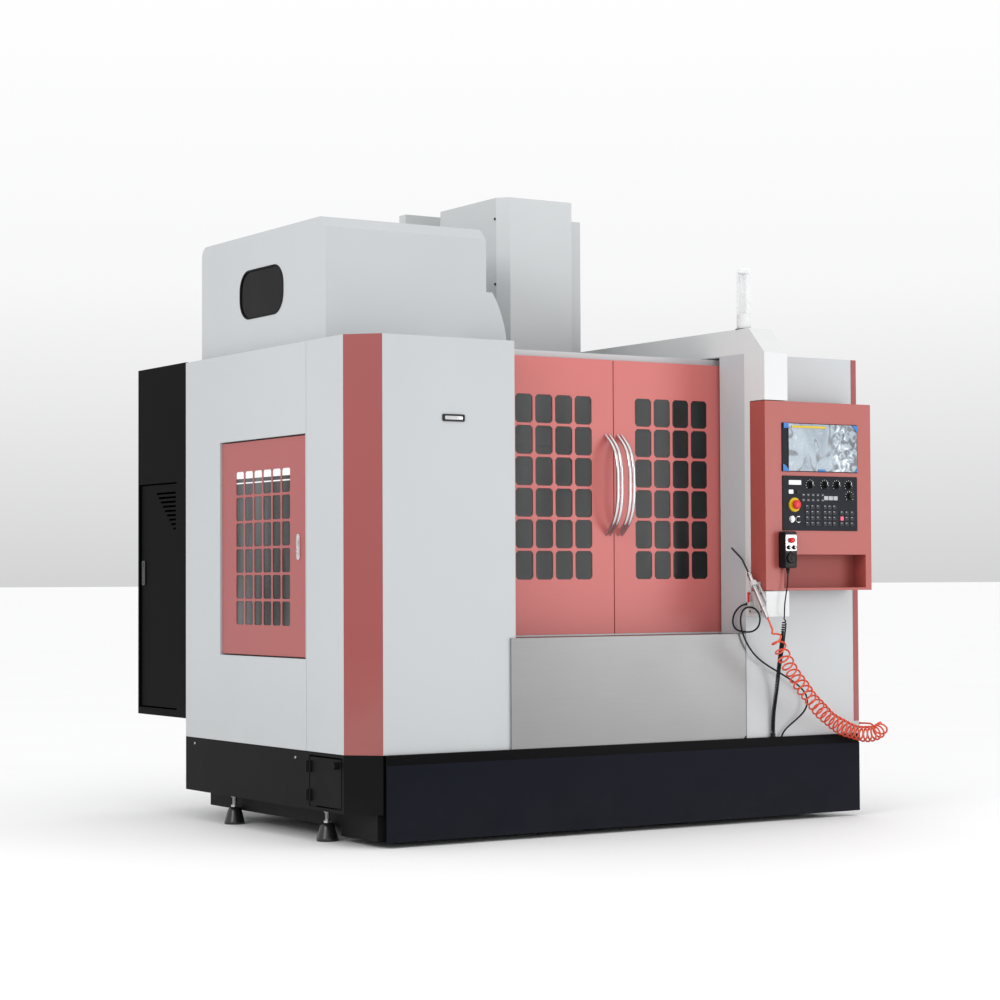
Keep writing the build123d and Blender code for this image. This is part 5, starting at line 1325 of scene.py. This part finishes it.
lamp_white = moulded("lamp white", (0.72, 0.73, 0.73, 1.0), rough=0.4)
lamp_place = Vector((0.668, -0.900))
lamp_at = Matrix.Translation((*lamp_place, 0.0))
seal_profile = [
    (0.0333, 2.1151), (0.0368, 2.1151), (0.0374, 2.1157), (0.0374, 2.1172), (0.0366, 2.1180),
    (0.0333, 2.1180), (0.0333, 2.1151),
]
foot_profile = [
    (0.0, 2.1152), (0.0330, 2.1152), (0.0330, 2.1190), (0.0290, 2.1200), (0.0290, 2.1225),
    (0.0312, 2.1235), (0.0312, 2.1560), (0.0302, 2.1580), (0.0302, 2.1620), (0.0312, 2.1635),
    (0.0312, 2.1800), (0.0295, 2.1815), (0.0, 2.1815),
]
lens_profile = [
    (0.0, 2.1816), (0.0296, 2.1816), (0.0310, 2.1830), (0.0310, 2.3660), (0.0298, 2.3740),
    (0.0270, 2.3790), (0.0150, 2.3842), (0.0, 2.3850),
]
disc_profile = [
    (0.0, 2.3562), (0.0240, 2.3562), (0.0252, 2.3574), (0.0252, 2.3596), (0.0240, 2.3608), (0.0, 2.3608),
]
piece("lamp_seal", lathe(seal_profile, lamp_at, steps=40), lip_rubber)
lamp_foot = piece("lamp_foot", lathe(foot_profile, lamp_at, steps=40), lamp_white)
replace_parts(lamp_foot, "lamp_base")
lamp_lens = piece("lamp_lens", lathe(lens_profile, lamp_at, steps=40), clear_lens("lamp lens"))
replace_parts(lamp_lens, "lamp_tube")
carrier_low, carrier_high, rib_root, rib_tip = 2.1818, 2.3560, 0.0042, 0.0200
carrier_loop = []
for angle in (math.radians(30.0 + 120.0 * rib) for rib in range(3)):
    outwards = Vector((math.cos(angle), math.sin(angle)))
    for reach, aside in ((rib_root, -0.0024), (rib_tip, -0.0016), (rib_tip, 0.0016), (rib_root, 0.0024)):
        carrier_loop.append(tuple(lamp_place + outwards * reach + outwards.orthogonal() * aside))
carrier = cut_sheet(
    [carrier_loop], carrier_high - carrier_low, 0.0004, "z", (carrier_low + carrier_high) / 2
)
piece("lamp_core", joined(carrier, lathe(disc_profile, lamp_at, steps=36)), lamp_white)


# Floor, light and camera
# A pale seamless floor, a soft sky that brightens upwards, and large lights as in a product studio.
floor_paint, floor_place = blank_finish("studio floor", {"Specular IOR Level": 0.15})
varied(floor_paint, {
    "Base Color": part_way(grain(floor_place, 0.8, 4.0), (0.86, 0.86, 0.865, 1.0), (0.885, 0.885, 0.89, 1.0)),
    "Roughness": 0.7 + grain(floor_place, 3.0) * 0.1,
})
floor_form = bmesh.new()
bmesh.ops.create_grid(floor_form, x_segments=6, y_segments=6, size=500.0)
floor_mesh = mesh_of(floor_form)
floor_mesh.materials.append(floor_paint)
in_scene("studio_floor", floor_mesh)

world = bpy.data.worlds.new("studio sky")
bpy.context.scene.world = world
world.use_nodes = True
sky = world.node_tree
direction = Shade(sky, sky.nodes.new("ShaderNodeTexCoord").outputs["Generated"])
sky_colour = direction.node(
    "ShaderNodeValToRGB",
    {"stops": [
        (0.0, (0.66, 0.66, 0.665, 1.0)), (0.12, (0.94, 0.94, 0.945, 1.0)), (0.24, (1.0, 1.0, 1.0, 1.0)),
        (1.0, (1.18, 1.18, 1.18, 1.0)),
    ]},
    {"Fac": along(direction, "Z")},
)
sky.links.new(sky_colour.socket, sky.nodes["Background"].inputs["Color"])
sky.nodes["Background"].inputs["Strength"].default_value = 1.0


def soft_light(name, place, aim, width, watts):
    """A large square lamp at a place, facing a point."""
    lamp = bpy.data.lights.new(name, "AREA")
    lamp.shape = "SQUARE"
    lamp.size = width
    lamp.energy = watts
    aimed = (Vector(aim) - Vector(place)).to_track_quat("-Z", "Y").to_matrix().to_4x4()
    in_scene(name, lamp).matrix_world = Matrix.Translation(place) @ aimed


soft_light("left_light", place=(-7.4, -3.6, 4.6), aim=(0.2, -0.5, 1.6), width=3.0, watts=150.0)
soft_light("right_light", place=(3.6, -5.2, 1.5), aim=(1.0, -0.9, 0.9), width=2.2, watts=74.0)

camera_place = Vector((-5.8298, -9.2059, 1.0378))
yaw, pitch, roll = math.radians(32.290), math.radians(1.891), math.radians(-0.2553)
ahead = Vector((math.sin(yaw) * math.cos(pitch), math.cos(yaw) * math.cos(pitch), math.sin(pitch)))
level_right = Vector((math.cos(yaw), -math.sin(yaw), 0.0))
level_above = level_right.cross(ahead)
right = level_right * math.cos(roll) + level_above * math.sin(roll)
above = level_above * math.cos(roll) - level_right * math.sin(roll)
camera_data = bpy.data.cameras.new("photo camera")
camera_data.sensor_width = 36.0
camera_data.sensor_fit = "HORIZONTAL"
camera_data.lens = 87.784
camera_data.clip_end = 1500.0
camera = in_scene("photo_camera", camera_data)
camera.matrix_world = Matrix.Translation(camera_place) @ Matrix((right, above, -ahead)).transposed().to_4x4()
bpy.context.scene.camera = camera
bpy.context.scene.view_settings.view_transform = "Standard"
